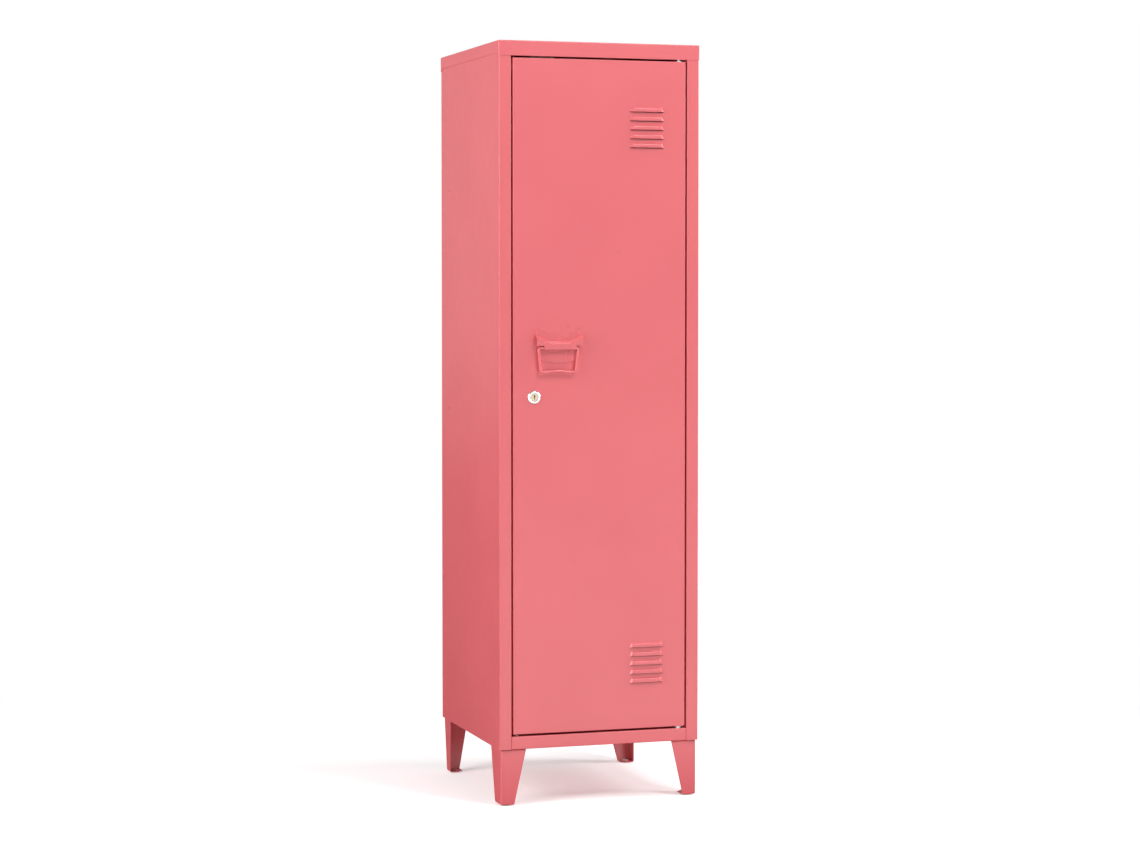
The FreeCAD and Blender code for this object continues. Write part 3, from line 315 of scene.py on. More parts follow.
class SlowDrift(Effect):
    """A slow change over the surface, for film thickness, tone and sheet ripple."""

    name = "slow_drift"
    entries = {"Waves per Metre": ("NodeSocketFloat", 3.0), "Contrast": ("NodeSocketFloat", 1.6)}
    result = "Drift"

    @classmethod
    def wire(cls, net: Wiring, given: Any) -> bpy.types.NodeSocket:
        """Read a soft noise and spread it about its middle.

        Args:
            net: the group's wiring.
            given: the group's inputs, by name.

        Returns:
            The drift, from 0 to 1.
        """
        soft = net.noise(given["Position"], given["Waves per Metre"], 1.5, 0.45)
        spread = net.sum("MULTIPLY", net.sum("SUBTRACT", soft, 0.5), given["Contrast"])
        return net.sum("ADD", spread, 0.5, clamp=True)


class EdgeRub(Effect):
    """The eased edges of a piece, where paint lies thinner and plating is rubbed."""

    name = "edge_rub"
    entries = {"Breaks per Metre": ("NodeSocketFloat", 160.0), "Amount": ("NodeSocketFloat", 0.5)}
    result = "Mask"

    @classmethod
    def wire(cls, net: Wiring, given: Any) -> bpy.types.NodeSocket:
        """Break the eased-edge attribute up with noise.

        Args:
            net: the group's wiring.
            given: the group's inputs, by name.

        Returns:
            The mask, from 0 to 1.
        """
        edge = net.add("ShaderNodeAttribute", attribute_name=EDGE_ATTRIBUTE).outputs["Fac"]
        broken = net.noise(given["Position"], given["Breaks per Metre"], 3.0)
        patchy = net.sum("ADD", net.sum("MULTIPLY", broken, 0.9), 0.2, clamp=True)
        return net.sum("MULTIPLY", net.sum("MULTIPLY", edge, patchy), given["Amount"])


class SettledDust(Effect):
    """A thin film of dust on faces that look upwards."""

    name = "settled_dust"
    entries = {"Patches per Metre": ("NodeSocketFloat", 22.0), "Amount": ("NodeSocketFloat", 0.1)}
    result = "Mask"

    @classmethod
    def wire(cls, net: Wiring, given: Any) -> bpy.types.NodeSocket:
        """Take the upward share of the normal and break it into patches and specks.

        Args:
            net: the group's wiring.
            given: the group's inputs, by name.

        Returns:
            The mask, from 0 to 1.
        """
        normal = net.add("ShaderNodeNewGeometry").outputs["Normal"]
        up = net.add("ShaderNodeSeparateXYZ")
        net.feed(up.inputs[0], normal)
        level = net.sum("POWER", net.sum("MAXIMUM", up.outputs["Z"], 0.0), 4.0)
        patches = net.noise(given["Position"], given["Patches per Metre"], 6.0, 0.65)
        speck_scale = net.sum("MULTIPLY", given["Patches per Metre"], 40.0)
        specks = net.noise(given["Position"], speck_scale, 1.0)
        film = net.sum("ADD", net.sum("MULTIPLY", patches, 0.8), net.sum("MULTIPLY", specks, 0.5))
        return net.sum("MULTIPLY", net.sum("MULTIPLY", level, film), given["Amount"], clamp=True)


class RubbedLines(Effect):
    """Fine scratches that run one way, as a cloth or a die leaves them."""

    name = "rubbed_lines"
    entries = {"Lines per Metre": ("NodeSocketFloat", 2500.0), "Stretch": ("NodeSocketFloat", 0.04)}
    result = "Height"

    @classmethod
    def wire(cls, net: Wiring, given: Any) -> bpy.types.NodeSocket:
        """Read noise that is stretched along one axis.

        Args:
            net: the group's wiring.
            given: the group's inputs, by name.

        Returns:
            The height.
        """
        stretch = net.add("ShaderNodeCombineXYZ")
        net.fill(stretch, X=given["Stretch"], Y=1.0, Z=1.0)
        place = net.vector_sum("MULTIPLY", given["Position"], stretch.outputs[0])
        return net.noise(place, given["Lines per Metre"], 2.0, 0.6)


# ---- finishes ----
@dataclass(frozen=True)
class Finish(ABC):
    """A surface finish that builds one procedural material."""

    name: str
    slot: Slot

    def material(self) -> bpy.types.Material:
        """Find the material, and build it the first time.

        Returns:
            The material.
        """
        known = bpy.data.materials.get(self.name)
        if known is not None:
            return known
        made = bpy.data.materials.new(self.name)
        made.use_nodes = True
        net = Wiring(made.node_tree)
        shader = made.node_tree.nodes["Principled BSDF"]
        position = net.add("ShaderNodeTexCoord").outputs["Object"]
        self.wire(net, shader, position)
        return made

    @abstractmethod
    def wire(self, net: Wiring, shader: bpy.types.Node, position: bpy.types.NodeSocket) -> None:
        """Make the material's nodes.

        Args:
            net: the material's wiring.
            shader: the material's shader.
            position: object coordinates.
        """

    @staticmethod
    def bump(net: Wiring, height: Any, depth: float, below: Any = None) -> bpy.types.NodeSocket:
        """Turn a height into a normal.

        Args:
            net: the material's wiring.
            height: the height, from 0 to 1.
            depth: the height's full depth.
            below: a normal to add the bump to, if there is one.

        Returns:
            The bumped normal.
        """
        node = net.add("ShaderNodeBump")
        net.fill(node, Height=height, Strength=1.0, Distance=depth)
        if below is not None:
            net.feed(node.inputs["Normal"], below)
        return node.outputs["Normal"]


@dataclass(frozen=True)
class PowderCoat(Finish):
    """Satin powder paint: a cured skin over sheet that ripples slightly."""

    colour: Colour = (0.735, 0.142, 0.158)
    deep: Colour = (0.690, 0.126, 0.142)
    edge: Colour = (0.800, 0.215, 0.225)
    dust: Colour = (0.640, 0.520, 0.500)
    roughness: float = 0.30
    roughness_swing: float = 0.07
    bumps_per_metre: float = 950.0
    skin_depth: float = 0.012 * MM
    ripple_depth: float = 0.50 * MM
    ripples_per_metre: float = 3.2
    dust_amount: float = 0.07
    refraction: float = 1.5
    gloss_layer: float = 0.10
    gloss_layer_roughness: float = 0.22

    def wire(self, net: Wiring, shader: bpy.types.Node, position: bpy.types.NodeSocket) -> None:
        """Drift the tone slightly, pale the eased edges, dust the tops, and bump the skin.

        Args:
            net: the material's wiring.
            shader: the material's shader.
            position: object coordinates.
        """
        tone = SlowDrift.place(net, position, Waves_per_Metre=5.0, Contrast=1.8)
        film = SlowDrift.place(net, position, Waves_per_Metre=38.0, Contrast=1.2)
        edges = EdgeRub.place(net, position, Breaks_per_Metre=140.0, Amount=0.55)
        dusty = SettledDust.place(net, position, Patches_per_Metre=18.0, Amount=self.dust_amount)
        paint = net.mix(tone, opaque(self.deep), opaque(self.colour))
        paint = net.mix(edges, paint, opaque(self.edge))
        paint = net.mix(dusty, paint, opaque(self.dust))
        rough = net.sum("MULTIPLY", net.sum("SUBTRACT", film, 0.5), self.roughness_swing)
        rough = net.sum("ADD", net.sum("ADD", rough, self.roughness), net.sum("MULTIPLY", dusty, 0.8))
        ripple = SlowDrift.place(net, position, Waves_per_Metre=self.ripples_per_metre, Contrast=1.0)
        skin = CuredSkin.place(net, position, Bumps_per_Metre=self.bumps_per_metre, Coarse_Share=0.45)
        normal = self.bump(net, skin, self.skin_depth, self.bump(net, ripple, self.ripple_depth))
        net.fill(shader, Base_Color=paint, Roughness=rough, Normal=normal)
        net.fill(shader, IOR=self.refraction, Coat_Weight=self.gloss_layer,
                 Coat_Roughness=self.gloss_layer_roughness)


@dataclass(frozen=True)
class PlatedSteel(Finish):
    """Zinc plate on pressed steel: a slightly cloudy metal with bright rubbed edges."""

    colour: Colour = (0.60, 0.61, 0.63)
    cloud: Colour = (0.47, 0.48, 0.50)
    edge: Colour = (0.78, 0.78, 0.77)
    roughness: float = 0.30
    clouds_per_metre: float = 130.0

    def wire(self, net: Wiring, shader: bpy.types.Node, position: bpy.types.NodeSocket) -> None:
        """Cloud the plating, brighten the edges and draw fine lines.

        Args:
            net: the material's wiring.
            shader: the material's shader.
            position: object coordinates.
        """
        cloudy = SlowDrift.place(net, position, Waves_per_Metre=self.clouds_per_metre, Contrast=2.4)
        edges = EdgeRub.place(net, position, Breaks_per_Metre=700.0, Amount=0.9)
        metal = net.mix(cloudy, opaque(self.cloud), opaque(self.colour))
        metal = net.mix(edges, metal, opaque(self.edge))
        rough = net.sum("ADD", net.sum("MULTIPLY", net.sum("SUBTRACT", 0.5, cloudy), 0.16), self.roughness)
        lines = RubbedLines.place(net, position, Lines_per_Metre=2200.0, Stretch=0.08)
        net.fill(shader, Base_Color=metal, Roughness=rough, Normal=self.bump(net, lines, 0.006 * MM))
        net.fill(shader, Metallic=1.0)


@dataclass(frozen=True)
class PolishedChrome(Finish):
    """Bright chrome with hair lines from handling."""

    colour: Colour = (0.80, 0.80, 0.81)
    hazed: Colour = (0.70, 0.70, 0.72)
    roughness: float = 0.07

    def wire(self, net: Wiring, shader: bpy.types.Node, position: bpy.types.NodeSocket) -> None:
        """Haze the chrome slightly and scratch it finely.

        Args:
            net: the material's wiring.
            shader: the material's shader.
            position: object coordinates.
        """
        haze = SlowDrift.place(net, position, Waves_per_Metre=210.0, Contrast=2.0)
        lines = RubbedLines.place(net, position, Lines_per_Metre=3200.0, Stretch=0.05)
        rough = net.sum("ADD", net.sum("MULTIPLY", haze, 0.08), self.roughness)
        net.fill(shader, Base_Color=net.mix(haze, opaque(self.hazed), opaque(self.colour)), Roughness=rough)
        net.fill(shader, Normal=self.bump(net, lines, 0.0015 * MM), Metallic=1.0)


@dataclass(frozen=True)
class TurnedNickel(Finish):
    """Warm nickel with the fine rings that facing on a lathe leaves."""

    centre: tuple[float, float, float] = (0.0, 0.0, 0.0)
    colour: Colour = (0.42, 0.36, 0.27)
    cloud: Colour = (0.36, 0.31, 0.23)
    roughness: float = 0.38
    rings_per_metre: float = 900.0

    def wire(self, net: Wiring, shader: bpy.types.Node, position: bpy.types.NodeSocket) -> None:
        """Draw rings about the lock's axis over cloudy nickel.

        Args:
            net: the material's wiring.
            shader: the material's shader.
            position: object coordinates.
        """
        centred = net.add("ShaderNodeMapping", vector_type="POINT")
        net.fill(centred, Vector=position, Location=tuple(-value for value in self.centre))
        rings = net.add("ShaderNodeTexWave", wave_type="RINGS", rings_direction="Y")
        net.fill(rings, Vector=centred.outputs[0], Scale=self.rings_per_metre, Distortion=0.6, Detail=1.0)
        cloudy = SlowDrift.place(net, position, Waves_per_Metre=260.0, Contrast=2.0)
        rough = net.sum("ADD", net.sum("MULTIPLY", cloudy, 0.12), self.roughness)
        net.fill(shader, Base_Color=net.mix(cloudy, opaque(self.cloud), opaque(self.colour)), Roughness=rough)
        net.fill(shader, Normal=self.bump(net, rings.outputs["Fac"], 0.0012 * MM), Metallic=1.0)


@dataclass(frozen=True)
class MouldedPlastic(Finish):
    """Moulded nylon or rubber: a fine spark texture with slightly scuffed edges."""

    colour: Colour = (0.76, 0.75, 0.72)
    shade: Colour = (0.68, 0.67, 0.64)
    edge: Colour = (0.82, 0.81, 0.79)
    roughness: float = 0.46
    grains_per_metre: float = 2600.0
    grain_depth: float = 0.012 * MM

    def wire(self, net: Wiring, shader: bpy.types.Node, position: bpy.types.NodeSocket) -> None:
        """Vary the tone slightly and bump the spark texture.

        Args:
            net: the material's wiring.
            shader: the material's shader.
            position: object coordinates.
        """
        flow = SlowDrift.place(net, position, Waves_per_Metre=90.0, Contrast=1.6)
        edges = EdgeRub.place(net, position, Breaks_per_Metre=500.0, Amount=0.5)
        plastic = net.mix(flow, opaque(self.shade), opaque(self.colour))
        plastic = net.mix(edges, plastic, opaque(self.edge))
        grain = CuredSkin.place(net, position, Bumps_per_Metre=self.grains_per_metre, Coarse_Share=0.2)
        rough = net.sum("ADD", net.sum("MULTIPLY", flow, 0.1), self.roughness)
        net.fill(shader, Base_Color=plastic, Roughness=rough, Normal=self.bump(net, grain, self.grain_depth))


LOCK_LOW, LOCK_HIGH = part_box("lock_housing")
LOCK_AXIS = (LOCK_LOW + LOCK_HIGH) / 2

PAINTED_SHEET = PowderCoat("coral_powder_on_sheet", Slot.POWDER)
PAINTED_FITTING = PowderCoat("coral_powder_on_fittings", Slot.POWDER, roughness=0.27)
ZINC = PlatedSteel("bright_zinc_plate", Slot.ZINC)
CHROME = PolishedChrome("polished_lock_chrome", Slot.CHROME)
NICKEL = TurnedNickel("turned_plug_nickel", Slot.NICKEL, centre=tuple(LOCK_AXIS))
FERRITE = MouldedPlastic("pressed_ferrite", Slot.MAGNET, colour=(0.035, 0.035, 0.038),
                         shade=(0.022, 0.022, 0.024), edge=(0.10, 0.10, 0.10), roughness=0.5)
NYLON = MouldedPlastic("moulded_pale_nylon", Slot.NYLON)
RUBBER = MouldedPlastic("soft_grey_rubber", Slot.RUBBER, colour=(0.30, 0.30, 0.31),
                        shade=(0.24, 0.24, 0.25), edge=(0.36, 0.36, 0.36), roughness=0.66,
                        grain_depth=0.02 * MM)


# ---- mesh work ----
@dataclass(frozen=True)
class Easing:
    """How a piece's sharp edges are rounded over."""

    width: float = 0.22 * MM
    segments: int = 2
    sharper_than: float = math.radians(34.0)
    smooth_below: float = math.radians(38.0)

    def apply(self, mesh: bpy.types.Mesh) -> bpy.types.Mesh:
        """Round the sharp edges, mark them with an attribute and smooth the shading.

        Args:
            mesh: a closed mesh, which is used up.

        Returns:
            The finished mesh.
        """
        mesh.materials.clear()
        for _ in range(2):
            mesh.materials.append(None)
        carrier = bpy.data.objects.new("carrier", mesh)
        bpy.context.scene.collection.objects.link(carrier)
        round_over = carrier.modifiers.new("round_over", "BEVEL")
        round_over.width = self.width
        round_over.segments = self.segments
        round_over.limit_method = "ANGLE"
        round_over.angle_limit = self.sharper_than
        round_over.material = 1
        graph = bpy.context.evaluated_depsgraph_get()
        eased = bpy.data.meshes.new_from_object(carrier.evaluated_get(graph))
        bpy.data.objects.remove(carrier)
        bpy.data.meshes.remove(mesh)
        self._mark(eased)
        return self._smooth(eased)

    @staticmethod
    def _mark(mesh: bpy.types.Mesh) -> None:
        """Write the faces that the rounding made to the edge attribute.

        Args:
            mesh: the mesh whose second material marks the rounded faces.
        """
        rounded = [0] * len(mesh.polygons)
        mesh.polygons.foreach_get("material_index", rounded)
        mark = mesh.attributes.new(EDGE_ATTRIBUTE, "FLOAT", "FACE")
        mark.data.foreach_set("value", [float(index) for index in rounded])
        mesh.polygons.foreach_set("material_index", [0] * len(rounded))
        mesh.materials.clear()

    def _smooth(self, mesh: bpy.types.Mesh) -> bpy.types.Mesh:
        """Smooth the shading, weighted by face area, and keep the sharp edges.

        Args:
            mesh: the mesh to shade, which is used up.

        Returns:
            The shaded mesh.
        """
        mesh.polygons.foreach_set("use_smooth", [True] * len(mesh.polygons))
        mesh.set_sharp_from_angle(angle=self.smooth_below)
        carrier = bpy.data.objects.new("carrier", mesh)
        bpy.context.scene.collection.objects.link(carrier)
        weigh = carrier.modifiers.new("weigh", "WEIGHTED_NORMAL")
        weigh.keep_sharp = True
        weigh.weight = 90
        graph = bpy.context.evaluated_depsgraph_get()
        shaded = bpy.data.meshes.new_from_object(carrier.evaluated_get(graph))
        bpy.data.objects.remove(carrier)
        bpy.data.meshes.remove(mesh)
        return shaded


SHEET_EASING = Easing()
FITTING_EASING = Easing(width=0.35 * MM, segments=3)
FINE_EASING = Easing(width=0.12 * MM)
THIN_EASING = Easing(width=0.08 * MM)
HAIR_EASING = Easing(width=0.05 * MM, segments=1)


def joined_faces(node: str) -> bmesh.types.BMesh:
    """Copy a node's mesh, weld its loose triangles and join those that lie flat together.

    Args:
        node: the node's name.

    Returns:
        The welded copy.
    """
    copy = bmesh.new()
    copy.from_mesh(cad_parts[node].data)
    for name in ("custom_normal", "sharp_edge", "sharp_face"):
        for domain in (copy.faces.layers, copy.edges.layers, copy.loops.layers):
            for kind in ("bool", "int", "float_vector"):
                layers = getattr(domain, kind, None)
                if layers is not None and name in layers:
                    layers.remove(layers[name])
    bmesh.ops.remove_doubles(copy, verts=copy.verts, dist=MERGE_DISTANCE)
    for edge in copy.edges:
        edge.smooth = True
    bmesh.ops.dissolve_limit(copy, angle_limit=FLAT_ANGLE, verts=copy.verts, edges=copy.edges, delimit=set())
    return copy


def mesh_from(work: bmesh.types.BMesh, name: str) -> bpy.types.Mesh:
    """Write a bmesh out as a mesh and free it.

    Args:
        work: the bmesh, which is used up.
        name: the mesh's name.

    Returns:
        The mesh.
    """
    mesh = bpy.data.meshes.new(name)
    work.to_mesh(mesh)
    work.free()
    return mesh


def solids(node: str) -> list[tuple[Vector, Vector]]:
    """Find the box of each separate solid in a node.

    Args:
        node: the node's name.

    Returns:
        The lowest and highest corner of each solid, in a fixed order.
    """
    work = joined_faces(node)
    waiting = set(work.verts)
    boxes = []
    while waiting:
        group, edge_of_group = set(), [min(waiting, key=lambda vertex: vertex.index)]
        while edge_of_group:
            vertex = edge_of_group.pop()
            if vertex not in group:
                group.add(vertex)
                edge_of_group.extend(edge.other_vert(vertex) for edge in vertex.link_edges)
        waiting -= group
        low = Vector(min(vertex.co[axis] for vertex in group) for axis in range(3))
        high = Vector(max(vertex.co[axis] for vertex in group) for axis in range(3))
        boxes.append((low, high))
    work.free()
    return sorted(boxes, key=lambda corners: tuple(round(value, 5) for value in corners[0]))


def facing(origin: Vector, direction: Vector) -> Matrix:
    """Give the transform that stands a piece made along +Z at a place, facing a direction.

    Args:
        origin: where the piece stands.
        direction: where its +Z goes.

    Returns:
        The transform.
    """
    return Matrix.Translation(origin) @ direction.to_track_quat("Z", "Y").to_matrix().to_4x4()


def turned(profile: Profile, steps: int, is_ring: bool = False) -> bmesh.types.BMesh:
    """Turn a profile about Z, as a lathe does.

    Args:
        profile: radius and height of each point. A solid's profile starts and ends on the axis.
        steps: number of facets round the piece.
        is_ring: whether the profile closes on itself and leaves a bore.

    Returns:
        A closed shape that faces outwards.
    """
    work = bmesh.new()
    rings = []
    for radius, height in profile:
        if radius <= 0.0:
            rings.append([work.verts.new((0.0, 0.0, height))])
            continue
        turns = (2 * math.pi * step / steps for step in range(steps))
        rings.append([work.verts.new((radius * math.cos(turn), radius * math.sin(turn), height))
                      for turn in turns])
    pairs = list(zip(rings, rings[1:])) + ([(rings[-1], rings[0])] if is_ring else [])
    for lower, upper in pairs:
        for step in range(steps):
            corners = []
            for vertex in (lower[step % len(lower)], lower[(step + 1) % len(lower)],
                           upper[(step + 1) % len(upper)], upper[step % len(upper)]):
                if vertex not in corners:
                    corners.append(vertex)
            if len(corners) > 2:
                work.faces.new(corners)
    bmesh.ops.recalc_face_normals(work, faces=work.faces)
    return work


def block(low: Vector, high: Vector) -> bmesh.types.BMesh:
    """Make a plain block for cutting with, or as the start of a small plate.

    Args:
        low: the lowest corner.
        high: the highest corner.

    Returns:
        The block.
    """
    work = bmesh.new()
    middle, size = (low + high) / 2, high - low
    bmesh.ops.create_cube(work, size=1.0, matrix=Matrix.Translation(middle) @ Matrix.Diagonal((*size, 1.0)))
    return work


def prism(near: Sequence[Vector], far: Sequence[Vector]) -> bmesh.types.BMesh:
    """Close the space between two outlines that have as many points as each other.

    Args:
        near: one outline.
        far: the other outline, with its points in the same order.

    Returns:
        A closed shape that faces outwards.
    """
    work = bmesh.new()
    first = [work.verts.new(point) for point in near]
    second = [work.verts.new(point) for point in far]
    work.faces.new(first)
    work.faces.new(list(reversed(second)))
    for index in range(len(first)):
        after = (index + 1) % len(first)
        work.faces.new((first[after], first[index], second[index], second[after]))
    bmesh.ops.recalc_face_normals(work, faces=work.faces)
    return work


def cut_away(mesh: bpy.types.Mesh, cutter: bpy.types.Mesh) -> bpy.types.Mesh:
    """Cut one closed mesh out of another.

    Args:
        mesh: what is cut, which is used up.
        cutter: what cuts it, which is used up.

    Returns:
        The cut mesh.
    """
    kept = bpy.data.objects.new("kept", mesh)
    tool = bpy.data.objects.new("tool", cutter)
    for carrier in (kept, tool):
        bpy.context.scene.collection.objects.link(carrier)
    cut = kept.modifiers.new("cut", "BOOLEAN")
    cut.operation, cut.solver, cut.object = "DIFFERENCE", "EXACT", tool
    graph = bpy.context.evaluated_depsgraph_get()
    result = bpy.data.meshes.new_from_object(kept.evaluated_get(graph))
    for carrier, used in ((kept, mesh), (tool, cutter)):
        bpy.data.objects.remove(carrier)
        bpy.data.meshes.remove(used)
    return result


def with_added(work: bmesh.types.BMesh, other: bmesh.types.BMesh) -> bmesh.types.BMesh:
    """Add a second shape to a first one.

    Args:
        work: the shape that is added to.
        other: the shape to add, which is used up.

    Returns:
        The first shape.
    """
    scratch = mesh_from(other, "scratch")
    work.from_mesh(scratch)
    bpy.data.meshes.remove(scratch)
    return work


# ---- geometry node trees ----
class ShapeTree(ABC):
    """A geometry node tree with named inputs, run on an object and turned into one plain mesh."""

    name: ClassVar[str]
    entries: ClassVar[dict[str, str]]

    @classmethod
    def tree(cls) -> bpy.types.NodeTree:
        """Find the tree, and build it the first time.

        Returns:
            The tree.
        """
        known = bpy.data.node_groups.get(cls.name)
        if known is not None:
            return known
        made = bpy.data.node_groups.new(cls.name, "GeometryNodeTree")
        made.is_modifier = True
        made.interface.new_socket("Geometry", in_out="INPUT", socket_type="NodeSocketGeometry")
        for name, kind in cls.entries.items():
            made.interface.new_socket(name, in_out="INPUT", socket_type=kind)
        made.interface.new_socket("Finish", in_out="INPUT", socket_type="NodeSocketMaterial")
        made.interface.new_socket("Geometry", in_out="OUTPUT", socket_type="NodeSocketGeometry")
        net = Wiring(made)
        given, out = net.add("NodeGroupInput"), net.add("NodeGroupOutput")
        real = net.add("GeometryNodeRealizeInstances")
        painted = net.add("GeometryNodeSetMaterial")
        net.feed(real.inputs[0], cls.wire(net, given.outputs))
        net.fill(painted, Geometry=real.outputs[0], Material=given.outputs["Finish"])
        net.feed(out.inputs[0], painted.outputs[0])
        return made

    @classmethod
    def run(cls, start: bpy.types.Mesh, finish: Finish, **values: Any) -> bpy.types.Mesh:
        """Run the tree on a starting mesh.

        Args:
            start: the mesh that the tree gets, which is used up.
            finish: the finish of the result.
            values: values of the named inputs, with underscores for spaces.

        Returns:
            The result as a plain mesh.
        """
        carrier = bpy.data.objects.new("carrier", start)
        modifier = carrier.modifiers.new(cls.name, "NODES")
        modifier.node_group = cls.tree()
        values["Finish"] = finish.material()
        for item in cls.tree().interface.items_tree:
            key = item.name.replace(" ", "_")
            if item.in_out == "INPUT" and key in values:
                modifier[item.identifier] = values[key]
        bpy.context.scene.collection.objects.link(carrier)
        graph = bpy.context.evaluated_depsgraph_get()
        result = bpy.data.meshes.new_from_object(carrier.evaluated_get(graph))
        bpy.data.objects.remove(carrier)
        bpy.data.meshes.remove(start)
        return result

    @classmethod
    @abstractmethod
    def wire(cls, net: Wiring, given: Any) -> bpy.types.NodeSocket:
        """Make the tree's nodes.

        Args:
            net: the tree's wiring.
            given: the tree's inputs, by name.

        Returns:
            The geometry that the tree makes.
        """


class FixingRow(ShapeTree):
    """Sets one fixing at every point, each turned by its own amount about its axis."""

    name = "fixings_at_points"
    entries = {"Fixing": "NodeSocketObject", "Axis": "NodeSocketVector", "Greatest Turn": "NodeSocketFloat",
               "Seed": "NodeSocketInt"}

    @classmethod
    def wire(cls, net: Wiring, given: Any) -> bpy.types.NodeSocket:
        """Instance the fixing on the points.

        Args:
            net: the tree's wiring.
            given: the tree's inputs, by name.

        Returns:
            The instances.
        """
        fixing = net.add("GeometryNodeObjectInfo")
        net.feed(fixing.inputs["Object"], given["Fixing"])
        turn = net.add("FunctionNodeRandomValue", data_type="FLOAT")
        net.feed(turn.inputs[3], given["Greatest Turn"])
        net.feed(turn.inputs["Seed"], given["Seed"])
        about = net.add("FunctionNodeAxisAngleToRotation")
        net.fill(about, Axis=given["Axis"], Angle=turn.outputs[1])
        placed = net.add("GeometryNodeInstanceOnPoints")
        net.fill(placed, Points=given["Geometry"], Instance=fixing.outputs["Geometry"],
                 Rotation=about.outputs[0])
        return placed.outputs[0]


class RadialRow(ShapeTree):
    """Sets copies of a shape in a circle about an upright axis, round a body that it also keeps."""

    name = "copies_round_an_axis"
    entries = {"Rib": "NodeSocketObject", "Count": "NodeSocketInt", "Radius": "NodeSocketFloat",
               "Centre": "NodeSocketVector"}

    @classmethod
    def wire(cls, net: Wiring, given: Any) -> bpy.types.NodeSocket:
        """Instance the rib round a circle and join it to the body.

        Args:
            net: the tree's wiring.
            given: the tree's inputs, by name.

        Returns:
            The body and the ribs.
        """
        rib = net.add("GeometryNodeObjectInfo")
        net.feed(rib.inputs["Object"], given["Rib"])
        circle = net.add("GeometryNodeMeshCircle")
        net.fill(circle, Vertices=given["Count"], Radius=given["Radius"])
        index = net.add("GeometryNodeInputIndex").outputs[0]
        share = net.sum("DIVIDE", index, given["Count"])
        turn = net.add("ShaderNodeCombineXYZ")
        net.feed(turn.inputs["Z"], net.sum("MULTIPLY", share, 2 * math.pi))
        placed = net.add("GeometryNodeInstanceOnPoints")
        net.fill(placed, Points=circle.outputs["Mesh"], Instance=rib.outputs["Geometry"],
                 Rotation=turn.outputs[0])
        moved = net.add("GeometryNodeTransform")
        net.fill(moved, Geometry=placed.outputs[0], Translation=given["Centre"])
        joined = net.add("GeometryNodeJoinGeometry")
        net.feed(joined.inputs[0], given["Geometry"])
        net.feed(joined.inputs[0], moved.outputs[0])
        return joined.outputs[0]


class WireLoop(ShapeTree):
    """Sweeps round wire along a trapezoid whose lower bar rises to its middle."""

    name = "bent_wire_loop"
    entries = {"Centre": "NodeSocketVector", "Top Width": "NodeSocketFloat",
               "Bottom Width": "NodeSocketFloat", "Drop": "NodeSocketFloat",
               "Rise": "NodeSocketFloat", "Top Corner": "NodeSocketFloat",
               "Bottom Corner": "NodeSocketFloat", "Middle Bend": "NodeSocketFloat",
               "Wire Radius": "NodeSocketFloat"}

    @classmethod
    def wire(cls, net: Wiring, given: Any) -> bpy.types.NodeSocket:
        """Bend the path, round its corners and sweep the wire along it.

        Args:
            net: the tree's wiring.
            given: the tree's inputs, by name.

        Returns:
            The wire loop.
        """
        path = net.add("GeometryNodeCurvePrimitiveQuadrilateral", mode="TRAPEZOID")
        net.fill(path, Height=given["Drop"], Bottom_Width=given["Bottom Width"], Top_Width=given["Top Width"],
                 Offset=0.0)
        halved = net.add("GeometryNodeSubdivideCurve")
        net.fill(halved, Curve=path.outputs[0], Cuts=1)
        spot = net.add("ShaderNodeSeparateXYZ")
        net.feed(spot.inputs[0], net.add("GeometryNodeInputPosition").outputs[0])
        near_axis = 0.1 * MM
        is_low = net.sum("LESS_THAN", spot.outputs["Y"], -near_axis)
        is_high = net.sum("GREATER_THAN", spot.outputs["Y"], near_axis)
        is_middle = net.sum("LESS_THAN", net.sum("ABSOLUTE", spot.outputs["X"]), near_axis)
        is_peak = net.sum("MULTIPLY", is_low, is_middle)
        lift = net.add("ShaderNodeCombineXYZ")
        net.feed(lift.inputs["Y"], net.sum("MULTIPLY", is_peak, given["Rise"]))
        risen = net.add("GeometryNodeSetPosition")
        net.fill(risen, Geometry=halved.outputs[0], Offset=lift.outputs[0])
        at_bottom = net.sum("MULTIPLY", net.sum("SUBTRACT", is_low, is_peak), given["Bottom Corner"])
        at_peak = net.sum("MULTIPLY", is_peak, given["Middle Bend"])
        at_top = net.sum("MULTIPLY", is_high, given["Top Corner"])
        keep = net.add("GeometryNodeCaptureAttribute", domain="POINT")
        keep.capture_items.new("FLOAT", "Corner Radius")
        net.feed(keep.inputs["Geometry"], risen.outputs[0])
        net.feed(keep.inputs[1], net.sum("ADD", net.sum("ADD", at_bottom, at_peak), at_top))
        rounded = net.add("GeometryNodeFilletCurve", mode="POLY")
        net.fill(rounded, Curve=keep.outputs[0], Radius=keep.outputs[1], Count=10)
        ring = net.add("GeometryNodeCurvePrimitiveCircle")
        net.fill(ring, Resolution=28, Radius=given["Wire Radius"])
        swept = net.add("GeometryNodeCurveToMesh")
        net.fill(swept, Curve=rounded.outputs[0], Profile_Curve=ring.outputs[0])
        stood = net.add("GeometryNodeTransform")
        net.fill(stood, Geometry=swept.outputs[0], Translation=given["Centre"],
                 Rotation=(math.pi / 2, 0.0, 0.0))
        smooth = net.add("GeometryNodeSetShadeSmooth")
        net.feed(smooth.inputs[0], stood.outputs[0])
        return smooth.outputs[0]


